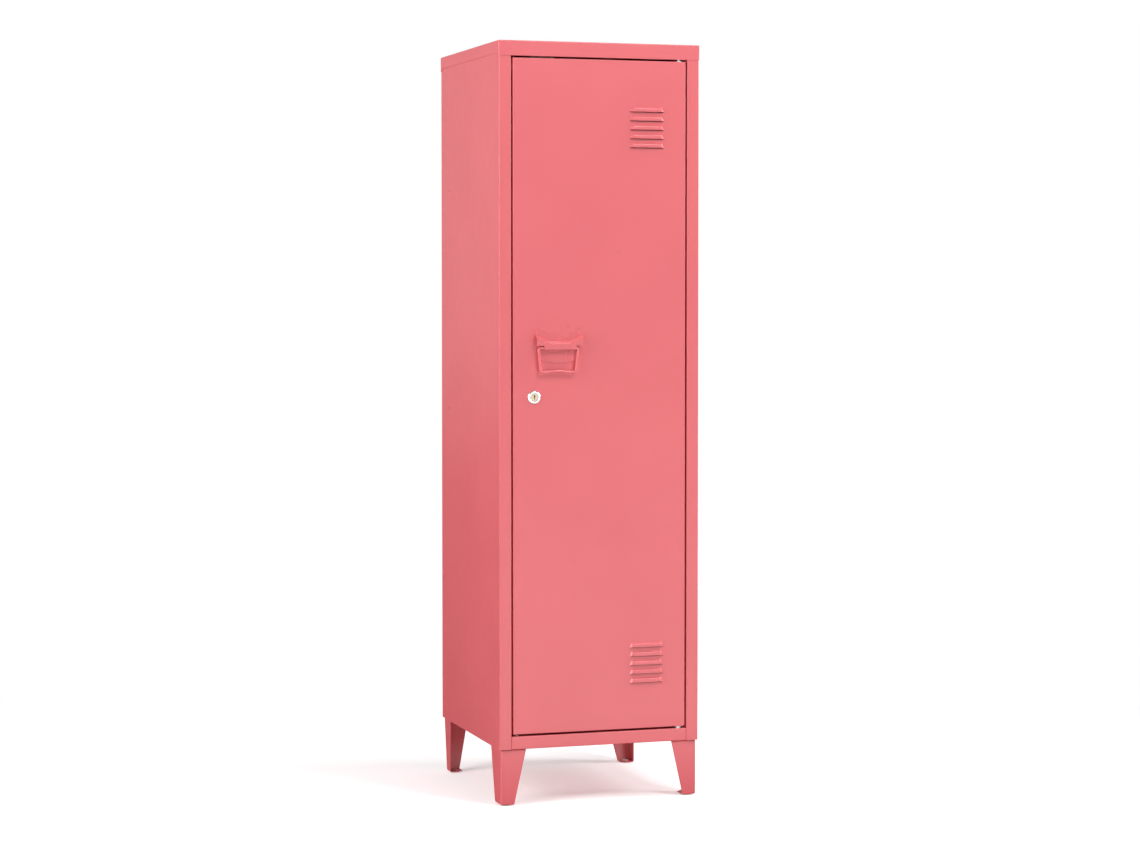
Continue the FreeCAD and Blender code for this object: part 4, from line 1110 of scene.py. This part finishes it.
# ---- sub-assemblies ----
@dataclass
class SubAssembly(ABC):
    """Pieces that are fitted together on the cabinet."""

    body: ClassVar[Body] = Body.CABINET

    @abstractmethod
    def build(self) -> None:
        """Make and dress every piece."""

    def fit(self, name: str, mesh: bpy.types.Mesh, finish: Finish, nodes: Sequence[str] = (),
            body: Body | None = None) -> bpy.types.Object:
        """Put a finished mesh in place as a piece.

        Args:
            name: the piece's name.
            mesh: its finished mesh.
            finish: its finish.
            nodes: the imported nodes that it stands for.
            body: the body that it rides on, if it isn't the sub-assembly's own.

        Returns:
            The piece.
        """
        mesh.name = name
        mesh.materials.clear()
        mesh.materials.append(finish.material())
        piece = bpy.data.objects.new(name, mesh)
        bpy.context.scene.collection.objects.link(piece)
        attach(piece, (body or self.body).value)
        if nodes:
            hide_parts(*nodes)
        LOG.info("%s: %d faces in %s", name, len(mesh.polygons), finish.name)
        return piece

    def dress(self, node: str, finish: Finish, easing: Easing, body: Body | None = None) -> bpy.types.Object:
        """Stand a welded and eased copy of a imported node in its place.

        Args:
            node: the node's name.
            finish: the finish of the copy.
            easing: how its edges are rounded over.
            body: the body that it rides on, if it isn't the sub-assembly's own.

        Returns:
            The piece.
        """
        mesh = easing.apply(mesh_from(joined_faces(node), node))
        return self.fit(f"{node}_finished", mesh, finish, [node], body)

    def set_fixings(self, name: str, nodes: Sequence[str], master: bpy.types.Mesh, places: Sequence[Vector],
                    axis: Vector, finish: Finish, seed: int) -> bpy.types.Object:
        """Set one fixing at every place.

        Args:
            name: the piece's name.
            nodes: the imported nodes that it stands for.
            master: the fixing, made at the origin.
            places: where the fixings go.
            axis: the axis that each is turned about.
            finish: the finish of the fixings.
            seed: the seed of the turns.

        Returns:
            The piece that holds all the fixings.
        """
        points = bpy.data.meshes.new("places")
        points.from_pydata([tuple(place) for place in places], [], [])
        pattern = bpy.data.objects.new("pattern", master)
        mesh = FixingRow.run(points, finish, Fixing=pattern, Axis=tuple(axis), Greatest_Turn=math.pi,
                             Seed=seed)
        bpy.data.objects.remove(pattern)
        return self.fit(name, mesh, finish, nodes)


@dataclass
class Carcass(SubAssembly):
    """The folded sheets that stand still: walls, back, lid and floor tray."""

    sheets: tuple[str, ...] = ("left_side_panel", "right_side_panel", "back_panel", "top_lid", "bottom_tray")
    sheet: float = 0.8 * MM
    corner_tab_end: float = 166.44 * MM
    corner_tab_width: float = 8.0 * MM
    corner_tab_gap: float = 0.06 * MM

    def build(self) -> None:
        """Dress every sheet and close the sill's corners."""
        for sheet in self.sheets:
            self.dress(sheet, PAINTED_SHEET, SHEET_EASING)
        self.close_sill_corners()

    def close_sill_corners(self) -> None:
        """Fold a small tab behind each end of the sill, so the seams beside the posts are closed."""
        low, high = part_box("bottom_tray")
        tabs = bmesh.new()
        near = low.y + self.sheet + self.corner_tab_gap
        foot, top = low.z + self.corner_tab_gap * 2, high.z - self.sheet - self.corner_tab_gap
        for side in (-1.0, 1.0):
            inner = self.corner_tab_end - self.corner_tab_width
            left, right = sorted((side * self.corner_tab_end, side * inner))
            with_added(tabs, block(Vector((left, near, foot)), Vector((right, near + self.sheet, top))))
        self.fit("sill_corner_tabs", mesh_from(tabs, "corner_tabs"), PAINTED_SHEET, ())


@dataclass
class Door(SubAssembly):
    """The louvred door pan, its stiffener and the bushes that it turns on."""

    body: ClassVar[Body] = Body.DOOR
    bushes: tuple[str, ...] = ("hinge_bush_top", "hinge_bush_bottom")

    def build(self) -> None:
        """Dress the pan, the stiffener and the bushes."""
        self.dress("door_skin", PAINTED_SHEET, SHEET_EASING)
        self.dress("door_stiffener", PAINTED_SHEET, SHEET_EASING)
        for bush in self.bushes:
            self.dress(bush, NYLON, FINE_EASING)


@dataclass
class HingePins(SubAssembly):
    """The two steel pins that the door turns on."""

    pins: tuple[str, ...] = ("hinge_pin_top", "hinge_pin_bottom")

    def build(self) -> None:
        """Dress both pins."""
        for pin in self.pins:
            self.dress(pin, ZINC, FINE_EASING)


@dataclass
class PullHandle(SubAssembly):
    """Backing plate, raised hood and swinging wire bail."""

    body: ClassVar[Body] = Body.DOOR
    wire_radius: float = 2.5 * MM
    top_half_width: float = 37.3 * MM
    bottom_half_width: float = 32.9 * MM
    drop: float = 44.0 * MM
    rise: float = 3.0 * MM
    top_corner: float = 4.0 * MM
    bottom_corner: float = 5.5 * MM
    middle_bend: float = 30.0 * MM

    def build(self) -> None:
        """Dress the pressed parts and bend the bail."""
        self.dress("handle_plate", PAINTED_FITTING, FITTING_EASING)
        self.dress("handle_hood", PAINTED_FITTING, FITTING_EASING)
        self.dress("handle_rivets", PAINTED_FITTING, FINE_EASING)
        self.bend_bail()

    def bend_bail(self) -> None:
        """Bend the bail as one wire loop through the hood's curl."""
        low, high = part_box("handle_bail")
        middle = high.z - self.wire_radius - self.drop / 2
        centre = ((low.x + high.x) / 2, (low.y + high.y) / 2, middle)
        mesh = WireLoop.run(
            bpy.data.meshes.new("start"), PAINTED_FITTING, Centre=centre,
            Top_Width=2 * self.top_half_width, Bottom_Width=2 * self.bottom_half_width, Drop=self.drop,
            Rise=self.rise, Top_Corner=self.top_corner, Bottom_Corner=self.bottom_corner,
            Middle_Bend=self.middle_bend, Wire_Radius=self.wire_radius)
        self.fit("handle_bail_bent", mesh, PAINTED_FITTING, ["handle_bail"], Body.BAIL)


@dataclass
class CamLock(SubAssembly):
    """Cam lock: threaded housing with a bevelled bezel, key plug, cam, washer and nut."""

    body: ClassVar[Body] = Body.DOOR
    bezel_radius: float = 11.75 * MM
    bezel_proud: float = 2.5 * MM
    bezel_land: float = 9.7 * MM
    barrel_radius: float = 9.4 * MM
    bore: float = 7.75 * MM
    thread_pitch: float = 1.2 * MM
    thread_depth: float = 0.4 * MM
    plug_radius: float = 7.7 * MM
    plug_steps: int = 64
    face_groove: float = 6.5 * MM
    keyway_width: float = 1.6 * MM
    keyway_upper_width: float = 2.8 * MM
    keyway_height: float = 8.0 * MM
    keyway_depth: float = 9.0 * MM
    cam_thickness: float = 2.0 * MM
    hub_half: float = 4.0 * MM
    wafer_heights: tuple[float, ...] = (0.9 * MM, 1.9 * MM, 0.5 * MM, 1.5 * MM, 1.1 * MM)
    wafer_pitch: float = 1.3 * MM
    wafer_thickness: float = 0.7 * MM
    first_wafer: float = 1.6 * MM
    screw_head_height: float = 2.4 * MM
    screw_radius: float = 2.5 * MM

    def build(self) -> None:
        """Make the housing and the plug, and dress what holds them."""
        self.turn_housing()
        self.make_plug()
        self.dress("lock_washer", ZINC, FINE_EASING)
        self.dress("lock_nut", ZINC, FITTING_EASING)
        self.dress("lock_cam", ZINC, FITTING_EASING, Body.LOCK)
        self.make_cam_screw()

    def make_cam_screw(self) -> None:
        """Turn the screw that holds the cam on the plug."""
        low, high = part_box("cam_screw")
        screw = ScrewHead((high.x - low.x) / 2, self.screw_head_height, self.screw_radius, high.y - low.y)
        master = screw.mesh(-AXLE_DIRECTION)
        master.transform(Matrix.Translation((LOCK_AXIS.x, high.y, LOCK_AXIS.z)))
        self.fit("cam_screw_made", master, ZINC, ["cam_screw"], Body.LOCK)

    def turn_housing(self) -> None:
        """Turn the bezel and the threaded barrel as one ring."""
        length = LOCK_HIGH.y - LOCK_LOW.y
        outer, proud, land = self.bezel_radius, self.bezel_proud, self.bezel_land
        root, relief = self.barrel_radius - self.thread_depth, self.barrel_radius - 0.1 * MM
        profile = [(self.bore, 0.35 * MM), (self.bore + 0.3 * MM, 0.05 * MM), (self.bore + 0.6 * MM, 0.0)]
        profile += [(land, 0.0), (land + 0.5 * MM, 0.15 * MM), (outer - 0.35 * MM, 1.15 * MM)]
        profile += [(outer, 1.6 * MM), (outer, proud), (root, proud)]
        along = proud + 2.0 * MM
        while along + self.thread_pitch < length - 1.0 * MM:
            profile += [(root, along), (self.barrel_radius, along + self.thread_pitch / 2)]
            along += self.thread_pitch
        profile += [(root, along), (relief, along + 0.3 * MM), (relief, length - 0.3 * MM)]
        profile += [(self.barrel_radius - 0.4 * MM, length), (self.bore, length)]
        ring = turned(profile, TURNED_STEPS, is_ring=True)
        mesh = THIN_EASING.apply(mesh_from(ring, "housing"))
        mesh.transform(facing(Vector((LOCK_AXIS.x, LOCK_LOW.y, LOCK_AXIS.z)), AXLE_DIRECTION))
        self.fit("lock_housing_turned", mesh, CHROME, ["lock_housing"])

    def make_plug(self) -> None:
        """Turn the plug, cut its keyway, add its square hub and set the wafers in the keyway."""
        low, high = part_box("lock_plug")
        length = high.y - low.y
        shoulder = length - self.cam_thickness
        groove = self.face_groove
        profile = [(0.0, 0.0), (groove - 0.3 * MM, 0.0), (groove, 0.25 * MM), (groove + 0.3 * MM, 0.0),
                   (self.plug_radius - 0.3 * MM, 0.0), (self.plug_radius, 0.3 * MM),
                   (self.plug_radius, shoulder), (0.0, shoulder)]
        front = Vector((LOCK_AXIS.x, low.y, LOCK_AXIS.z))
        plug = mesh_from(turned(profile, self.plug_steps), "plug")
        plug.transform(facing(front, AXLE_DIRECTION))
        plug = cut_away(plug, mesh_from(self._keyway(front), "keyway"))
        square = Vector((self.hub_half, 0.0, self.hub_half))
        hub = block(Vector((front.x, high.y - self.cam_thickness, front.z)) - square,
                    Vector((front.x, high.y, front.z)) + square)
        whole = bmesh.new()
        whole.from_mesh(plug)
        bpy.data.meshes.remove(plug)
        with_added(whole, hub)
        mesh = FINE_EASING.apply(mesh_from(whole, "plug"))
        self.fit("lock_plug_keyed", mesh, NICKEL, ["lock_plug"], Body.LOCK)
        self._set_wafers(front)

    def _keyway(self, front: Vector) -> bmesh.types.BMesh:
        """Make the keyway's volume, wider at the top, as one prism.

        Args:
            front: the middle of the plug's face.

        Returns:
            The volume.
        """
        narrow, wide, tall = self.keyway_width / 2, self.keyway_upper_width / 2, self.keyway_height / 2
        step = self.keyway_width / 2
        outline = [(-narrow, -tall), (narrow, -tall), (narrow, step), (wide, step), (wide, tall),
                   (-wide, tall), (-wide, step), (-narrow, step)]
        return prism([front + Vector((x, -1.0 * MM, z)) for x, z in outline],
                     [front + Vector((x, self.keyway_depth, z)) for x, z in outline])

    def _set_wafers(self, front: Vector) -> None:
        """Stand thin wafers across the keyway, each at its own height.

        Args:
            front: the middle of the plug's face.
        """
        half, foot = self.keyway_width / 2 + 0.1 * MM, front.z - (self.keyway_height / 2 + 0.2 * MM)
        plates = bmesh.new()
        for number, height in enumerate(self.wafer_heights):
            near = front.y + self.first_wafer + number * self.wafer_pitch
            low = Vector((front.x - half, near, foot))
            high = Vector((front.x + half, near + self.wafer_thickness, foot + height + 1.2 * MM))
            with_added(plates, block(low, high))
        mesh = Easing(width=0.05 * MM).apply(mesh_from(plates, "wafers"))
        self.fit("lock_key_wafers", mesh, NICKEL, (), Body.LOCK)


@dataclass(frozen=True)
class ScrewHead:
    """A pan-head screw with a cross recess, its crown at the origin and its shank along +Z."""

    radius: float
    height: float
    shank_radius: float
    length: float
    steps: int = 40
    dome_steps: int = 6
    flat_share: float = 0.62
    dome_share: float = 0.62

    def mesh(self, direction: Vector) -> bpy.types.Mesh:
        """Turn the screw and sink its recess.

        Args:
            direction: where the shank points from the crown.

        Returns:
            The screw, with its crown at the origin.
        """
        profile = [(0.0, 0.0)]
        for step in range(self.dome_steps + 1):
            turn = step / self.dome_steps * math.pi / 2
            profile.append((self.radius * (self.flat_share + (1 - self.flat_share) * math.sin(turn)),
                            self.height * self.dome_share * (1 - math.cos(turn))))
        profile += [(self.radius, self.height * 0.92), (self.radius * 0.96, self.height)]
        profile += [(self.shank_radius, self.height), (self.shank_radius, self.length - 0.4 * MM),
                    (self.shank_radius - 0.4 * MM, self.length), (0.0, self.length)]
        screw = cut_away(mesh_from(turned(profile, self.steps), "screw"), self._recess())
        screw = HAIR_EASING.apply(screw)
        screw.transform(facing(Vector(), direction))
        return screw

    def _recess(self) -> bpy.types.Mesh:
        """Make the tapered cross that is sunk into the crown.

        Returns:
            The cross.
        """
        reach, half, depth = self.radius * 0.55, self.radius * 0.13, self.height * 0.6
        outlines = []
        for arm, side, along in ((reach, half, -0.2 * MM), (reach * 0.45, half * 0.7, depth)):
            turns = [Matrix.Rotation(quarter * math.pi / 2, 4, "Z") for quarter in range(4)]
            outlines.append([turn @ Vector((*corner, along)) for turn in turns
                             for corner in ((arm, -side), (arm, side), (side, side))])
        return mesh_from(prism(*outlines), "recess")


@dataclass(frozen=True)
class BlindRivet:
    """A blind rivet with a domed flange, its pulled stem inside, and an upset tail."""

    flange_radius: float
    flange_height: float
    body_radius: float
    tail_radius: float
    tail_height: float
    length: float
    steps: int = 36
    dome_steps: int = 6
    stem_share: float = 0.55
    stem_gap: float = 0.25 * MM

    def mesh(self, direction: Vector) -> bpy.types.Mesh:
        """Turn the rivet.

        Args:
            direction: where the body points from the flange.

        Returns:
            The rivet, with its crown at the origin.
        """
        stem = self.body_radius * self.stem_share
        mouth = stem + self.stem_gap
        profile = [(0.0, 0.30 * MM), (stem - 0.15 * MM, 0.30 * MM), (stem, 0.45 * MM), (mouth, 0.0)]
        for step in range(1, self.dome_steps + 1):
            turn = step / self.dome_steps * math.pi / 2
            profile.append((mouth + (self.flange_radius - stem - self.stem_gap) * math.sin(turn),
                            self.flange_height * 0.85 * (1 - math.cos(turn))))
        tail = self.length - self.tail_height
        profile += [(self.flange_radius, self.flange_height), (self.body_radius, self.flange_height),
                    (self.body_radius, tail), (self.tail_radius * 0.9, tail),
                    (self.tail_radius, tail + 0.3 * MM), (self.tail_radius * 0.92, self.length - 0.3 * MM),
                    (self.tail_radius * 0.6, self.length), (0.0, self.length)]
        rivet = HAIR_EASING.apply(mesh_from(turned(profile, self.steps), "rivet"))
        rivet.transform(facing(Vector(), direction))
        return rivet


@dataclass
class Legs(SubAssembly):
    """Four tapered sheet legs, their glides and the screws that hold them."""

    pad_radius: float = 8.5 * MM
    cap_radius: float = 6.5 * MM
    stem_radius: float = 4.9 * MM
    pad_height: float = 1.5 * MM
    plate: float = 1.5 * MM
    steps: int = 48
    ribs: int = 10
    rib_half: tuple[float, float, float] = (0.35 * MM, 0.35 * MM, 0.45 * MM)
    screw_radius: float = 2.5 * MM
    head_radius: float = 4.6 * MM
    head_height: float = 2.4 * MM

    def build(self) -> None:
        """Dress the legs, mould the glides and set the screws."""
        for side in Side:
            self.dress(f"leg_{side.value}", PAINTED_SHEET, FITTING_EASING)
            self.mould_glide(side)
        boxes = solids("leg_screws")
        length = boxes[0][1].z - boxes[0][0].z
        master = ScrewHead(self.head_radius, self.head_height, self.screw_radius, length)
        places = [Vector(((low.x + high.x) / 2, (low.y + high.y) / 2, low.z)) for low, high in boxes]
        self.set_fixings("leg_screws_set", ["leg_screws"], master.mesh(UPWARDS), places, UPWARDS, ZINC,
                         seed=7)

    def mould_glide(self, side: Side) -> None:
        """Mould one glide, with ribs round its cap.

        Args:
            side: which leg it is for.
        """
        node = f"leg_glide_{side.value}"
        low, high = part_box(node)
        top = high.z - low.z
        cap = top - 0.1 * MM
        seat = self.pad_height + self.plate
        profile = [(0.0, 0.5 * MM), (3.0 * MM, 0.5 * MM), (3.6 * MM, 0.0), (5.4 * MM, 0.0),
                   (5.8 * MM, 0.3 * MM), (6.4 * MM, 0.3 * MM), (6.8 * MM, 0.0),
                   (self.pad_radius - 0.5 * MM, 0.0),
                   (self.pad_radius, 0.5 * MM), (self.pad_radius, self.pad_height - 0.15 * MM),
                   (self.pad_radius - 0.15 * MM, self.pad_height), (self.stem_radius, self.pad_height),
                   (self.stem_radius, seat), (self.cap_radius, seat), (self.cap_radius, top - 0.9 * MM),
                   (self.cap_radius - 0.9 * MM, cap), (3.4 * MM, cap), (2.8 * MM, cap - 0.8 * MM),
                   (1.4 * MM, cap - 0.8 * MM), (1.1 * MM, top - 0.2 * MM), (0.0, top)]
        body = THIN_EASING.apply(mesh_from(turned(profile, self.steps), "glide"))
        centre = Vector(((low.x + high.x) / 2, (low.y + high.y) / 2, low.z))
        body.transform(Matrix.Translation(centre))
        size = Vector(self.rib_half)
        rib = bpy.data.objects.new("rib", THIN_EASING.apply(mesh_from(block(-size, size), "rib")))
        height = Vector((0.0, 0.0, seat + size.z))
        mesh = RadialRow.run(body, NYLON, Rib=rib, Count=self.ribs, Radius=self.cap_radius - 0.15 * MM,
                             Centre=tuple(centre + height))
        bpy.data.objects.remove(rib)
        self.fit(f"{node}_moulded", mesh, NYLON, [node])


@dataclass
class BackFixings(SubAssembly):
    """The blind rivets that hold the back panel."""

    rivet: BlindRivet = field(default_factory=lambda: BlindRivet(
        flange_radius=3.6 * MM, flange_height=0.9 * MM, body_radius=2.0 * MM, tail_radius=2.9 * MM,
        tail_height=1.6 * MM, length=4.1 * MM))

    def build(self) -> None:
        """Set a rivet in every hole of the back panel."""
        boxes = solids("back_rivets")
        places = [Vector(((low.x + high.x) / 2, high.y, (low.z + high.z) / 2)) for low, high in boxes]
        inward = -AXLE_DIRECTION
        self.set_fixings("back_rivets_set", ["back_rivets"], self.rivet.mesh(inward), places, inward, ZINC,
                         seed=3)


@dataclass
class Interior(SubAssembly):
    """Slotted rails, shelves and the clips that carry them."""

    levels: tuple[str, ...] = ("lower", "middle", "upper")

    def build(self) -> None:
        """Dress the rails, the shelves and the clips."""
        for side in Side:
            self.dress(f"shelf_rail_{side.value}", PAINTED_SHEET, SHEET_EASING)
        for level in self.levels:
            self.dress(f"shelf_{level}", PAINTED_SHEET, SHEET_EASING)
            self.dress(f"shelf_clips_{level}", ZINC, SHEET_EASING)


@dataclass
class CatchAndStops(SubAssembly):
    """Magnetic catch, its striker on the door, the door buffers and the rest bump."""

    screw_radius: float = 1.7 * MM
    head_radius: float = 3.4 * MM
    head_height: float = 1.7 * MM

    def build(self) -> None:
        """Dress the moulded parts and set the catch screws."""
        self.dress("catch_body", NYLON, FITTING_EASING)
        self.dress("catch_magnet", FERRITE, SHEET_EASING)
        self.dress("catch_striker", ZINC, SHEET_EASING, Body.DOOR)
        self.dress("door_buffers", RUBBER, SHEET_EASING)
        self.dress("door_rest_bump", NYLON, FINE_EASING)
        boxes = solids("catch_screws")
        length = boxes[0][1].z - boxes[0][0].z
        places = [Vector(((low.x + high.x) / 2, (low.y + high.y) / 2, low.z)) for low, high in boxes]
        master = ScrewHead(self.head_radius, self.head_height, self.screw_radius, length)
        self.set_fixings("catch_screws_set", ["catch_screws"], master.mesh(UPWARDS), places, UPWARDS, ZINC,
                         seed=11)


# ---- studio ----
@dataclass
class SoftLight:
    """One soft area light."""

    name: str
    place: tuple[float, float, float]
    aim: tuple[float, float, float]
    width: float
    height: float
    power: float
    tint: Colour = (1.0, 1.0, 1.0)

    def hang(self) -> None:
        """Hang the light and aim it."""
        data = bpy.data.lights.new(self.name, "AREA")
        data.shape, data.size, data.size_y = "RECTANGLE", self.width, self.height
        data.energy, data.color = self.power, self.tint
        light = bpy.data.objects.new(self.name, data)
        light.location = self.place
        light.rotation_euler = (Vector(self.aim) - Vector(self.place)).to_track_quat("-Z", "Y").to_euler()
        bpy.context.scene.collection.objects.link(light)


@dataclass
class Studio:
    """Pale floor, soft lights and the camera."""

    floor_half: float = 14.0
    floor_colour: Colour = (0.92, 0.92, 0.92)
    floor_mottle: float = 0.008
    floor_roughness: float = 0.75
    floor_fade: tuple[float, float] = (0.5, 1.6)
    floor_glow: float = 0.35
    # Strength and span of the floor's glow that only reflections see: painted reflection light on the
    # cabinet.
    floor_reflection_glow: tuple[float, float] = (2.6, 0.04)
    floor_reflection_glow_edge: tuple[float, float] = (-0.9, -0.2)
    surround_behind: float = 0.36
    surround_before: float = 0.15
    front_sheen: tuple[float, float] = (0.5, 2.8)
    sheen_rise: tuple[float, float] = (0.0, 0.14)
    sheen_fall: tuple[float, float] = (0.22, 0.55)
    overhead_share: float = 0.12
    surround_turn: tuple[float, float] = (-0.3, 0.6)
    camera_place: tuple[float, float, float] = (-1.51868, -4.78853, 0.93416)
    camera_pitch: float = 1.53072
    camera_heading: float = -0.30808
    lens: float = 84.785
    sensor_width: float = 36.0
    view_reach: float = 60.0
    shift_y: float = -0.03
    lights: list[SoftLight] = field(default_factory=lambda: [
        SoftLight("key", (1.9, -3.2, 4.4), (0.0, -0.1, 0.6), 1.0, 1.0, 84.0),
        SoftLight("top", (0.5, -1.5, 3.0), (0.0, -0.1, 0.9), 0.9, 0.7, 13.0),
        SoftLight("right_rim", (2.6, -0.55, 1.9), (0.0, -0.2, 0.75), 0.9, 1.6, 54.0),
        SoftLight("left_fill", (-3.0, -0.8, 1.9), (-0.2, 0.0, 0.7), 1.8, 2.0, 84.0),
    ])

    def build(self) -> None:
        """Set up everything that isn't the cabinet."""
        self.lay_floor()
        self.light_surround()
        for light in self.lights:
            light.hang()
        self.place_camera()
        bpy.context.scene.view_settings.view_transform = "Standard"

    def lay_floor(self) -> None:
        """Lay a plain pale floor under the glides."""
        half = self.floor_half
        mesh = bpy.data.meshes.new("studio_floor")
        mesh.from_pydata([(-half, -half, 0.0), (half, -half, 0.0), (half, half, 0.0), (-half, half, 0.0)], [],
                         [(0, 1, 2, 3)])
        floor = bpy.data.objects.new("studio_floor", mesh)
        bpy.context.scene.collection.objects.link(floor)
        mesh.materials.append(self.floor_paint())

    def floor_paint(self) -> bpy.types.Material:
        """Make the floor's paint, which runs out to plain white away from the cabinet, and which glows in
        reflections ahead of it as painted reflection light.

        Returns:
            The material.
        """
        material = bpy.data.materials.new("pale_floor_paint")
        material.use_nodes = True
        net = Wiring(material.node_tree)
        shader = material.node_tree.nodes["Principled BSDF"]
        position = net.add("ShaderNodeTexCoord").outputs["Object"]
        drift = SlowDrift.place(net, position, Waves_per_Metre=1.2, Contrast=1.0)
        mottle = opaque(tuple(value - self.floor_mottle for value in self.floor_colour))
        net.fill(shader, Base_Color=net.mix(drift, mottle, opaque(self.floor_colour)),
                 Roughness=self.floor_roughness)
        distance = net.add("ShaderNodeVectorMath", operation="LENGTH")
        net.feed(distance.inputs[0], position)
        fade = net.ramp(distance.outputs["Value"], self.floor_fade)
        rays = net.add("ShaderNodeLightPath").outputs
        lifted = net.add("ShaderNodeAddShader")
        net.feed(lifted.inputs[0], shader.outputs[0])
        lift = net.sum("MULTIPLY", rays["Is Camera Ray"], self.floor_glow)
        net.feed(lifted.inputs[1], self.glow(net, lift))
        seen = self.either(net, net.sum("MULTIPLY", rays["Is Camera Ray"], fade), lifted.outputs[0],
                           self.glow(net, 1.0))
        # Glossy rays see the floor as a white glow, strong ahead of the cabinet and faint behind it: painted
        # reflection light on the cabinet, not the floor's own gloss.
        spot = net.add("ShaderNodeSeparateXYZ")
        net.feed(spot.inputs[0], position)
        reflected_glow = self.glow(net, net.ramp(spot.outputs["Y"], self.floor_reflection_glow_edge, self.floor_reflection_glow))
        result = self.either(net, rays["Is Glossy Ray"], seen, reflected_glow)
        net.feed(material.node_tree.nodes["Material Output"].inputs["Surface"], result)
        return material

    @staticmethod
    def glow(net: Wiring, strength: Any) -> bpy.types.NodeSocket:
        """Add a plain white glow.

        Args:
            net: the wiring to add to.
            strength: how strong it is.

        Returns:
            The glow.
        """
        node = net.add("ShaderNodeEmission")
        net.fill(node, Color=opaque((1.0, 1.0, 1.0)), Strength=strength)
        return node.outputs[0]

    @staticmethod
    def either(net: Wiring, share: Any, first: Any, second: Any) -> bpy.types.NodeSocket:
        """Mix two shaders.

        Args:
            net: the wiring to add to.
            share: how much of the second shader shows.
            first: the first shader.
            second: the second shader.

        Returns:
            The mixed shader.
        """
        node = net.add("ShaderNodeMixShader")
        for socket, value in zip(node.inputs, (share, first, second)):
            net.feed(socket, value)
        return node.outputs[0]

    def light_surround(self) -> None:
        """Light softly from all round, with a bright band ahead for gloss and plain white in view."""
        world = bpy.data.worlds.new("white_surround")
        bpy.context.scene.world = world
        world.use_nodes = True
        net = Wiring(world.node_tree)
        direction = net.add("ShaderNodeSeparateXYZ")
        net.feed(direction.inputs[0], net.add("ShaderNodeTexCoord").outputs["Generated"])
        forwards = net.sum("MULTIPLY", direction.outputs["Y"], -1.0)
        turn = net.ramp(forwards, self.surround_turn, (self.surround_behind, self.surround_before))
        rise = net.ramp(direction.outputs["Z"], self.sheen_rise, self.front_sheen)
        fall = net.ramp(direction.outputs["Z"], self.sheen_fall, (1.0, self.overhead_share))
        rays = net.add("ShaderNodeLightPath").outputs
        sheen = net.sum("MULTIPLY", net.sum("MULTIPLY", rise, fall), net.ramp(forwards, self.surround_turn))
        sheen = net.sum("MULTIPLY", sheen, rays["Is Glossy Ray"])
        around = self.glow(net, net.sum("ADD", turn, sheen))
        result = self.either(net, rays["Is Camera Ray"], around, self.glow(net, 1.0))
        net.feed(world.node_tree.nodes["World Output"].inputs["Surface"], result)

    def place_camera(self) -> None:
        """Stand the camera before the cabinet, a little to its left."""
        data = bpy.data.cameras.new("camera")
        data.lens, data.sensor_width, data.sensor_fit = self.lens, self.sensor_width, "HORIZONTAL"
        data.shift_y = self.shift_y
        data.clip_end = self.view_reach
        camera = bpy.data.objects.new("camera", data)
        camera.location = self.camera_place
        camera.rotation_euler = (self.camera_pitch, 0.0, self.camera_heading)
        bpy.context.scene.collection.objects.link(camera)
        bpy.context.scene.camera = camera


def main() -> None:
    """Build the studio and every sub-assembly."""
    logging.basicConfig(level=logging.INFO, format="%(name)s: %(message)s")
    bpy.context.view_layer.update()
    Studio().build()
    for part in (Carcass(), Door(), HingePins(), PullHandle(), CamLock(), Legs(), BackFixings(), Interior(),
                 CatchAndStops()):
        LOG.info("building %s", type(part).__name__)
        part.build()


if __name__ == "__main__":
    main()
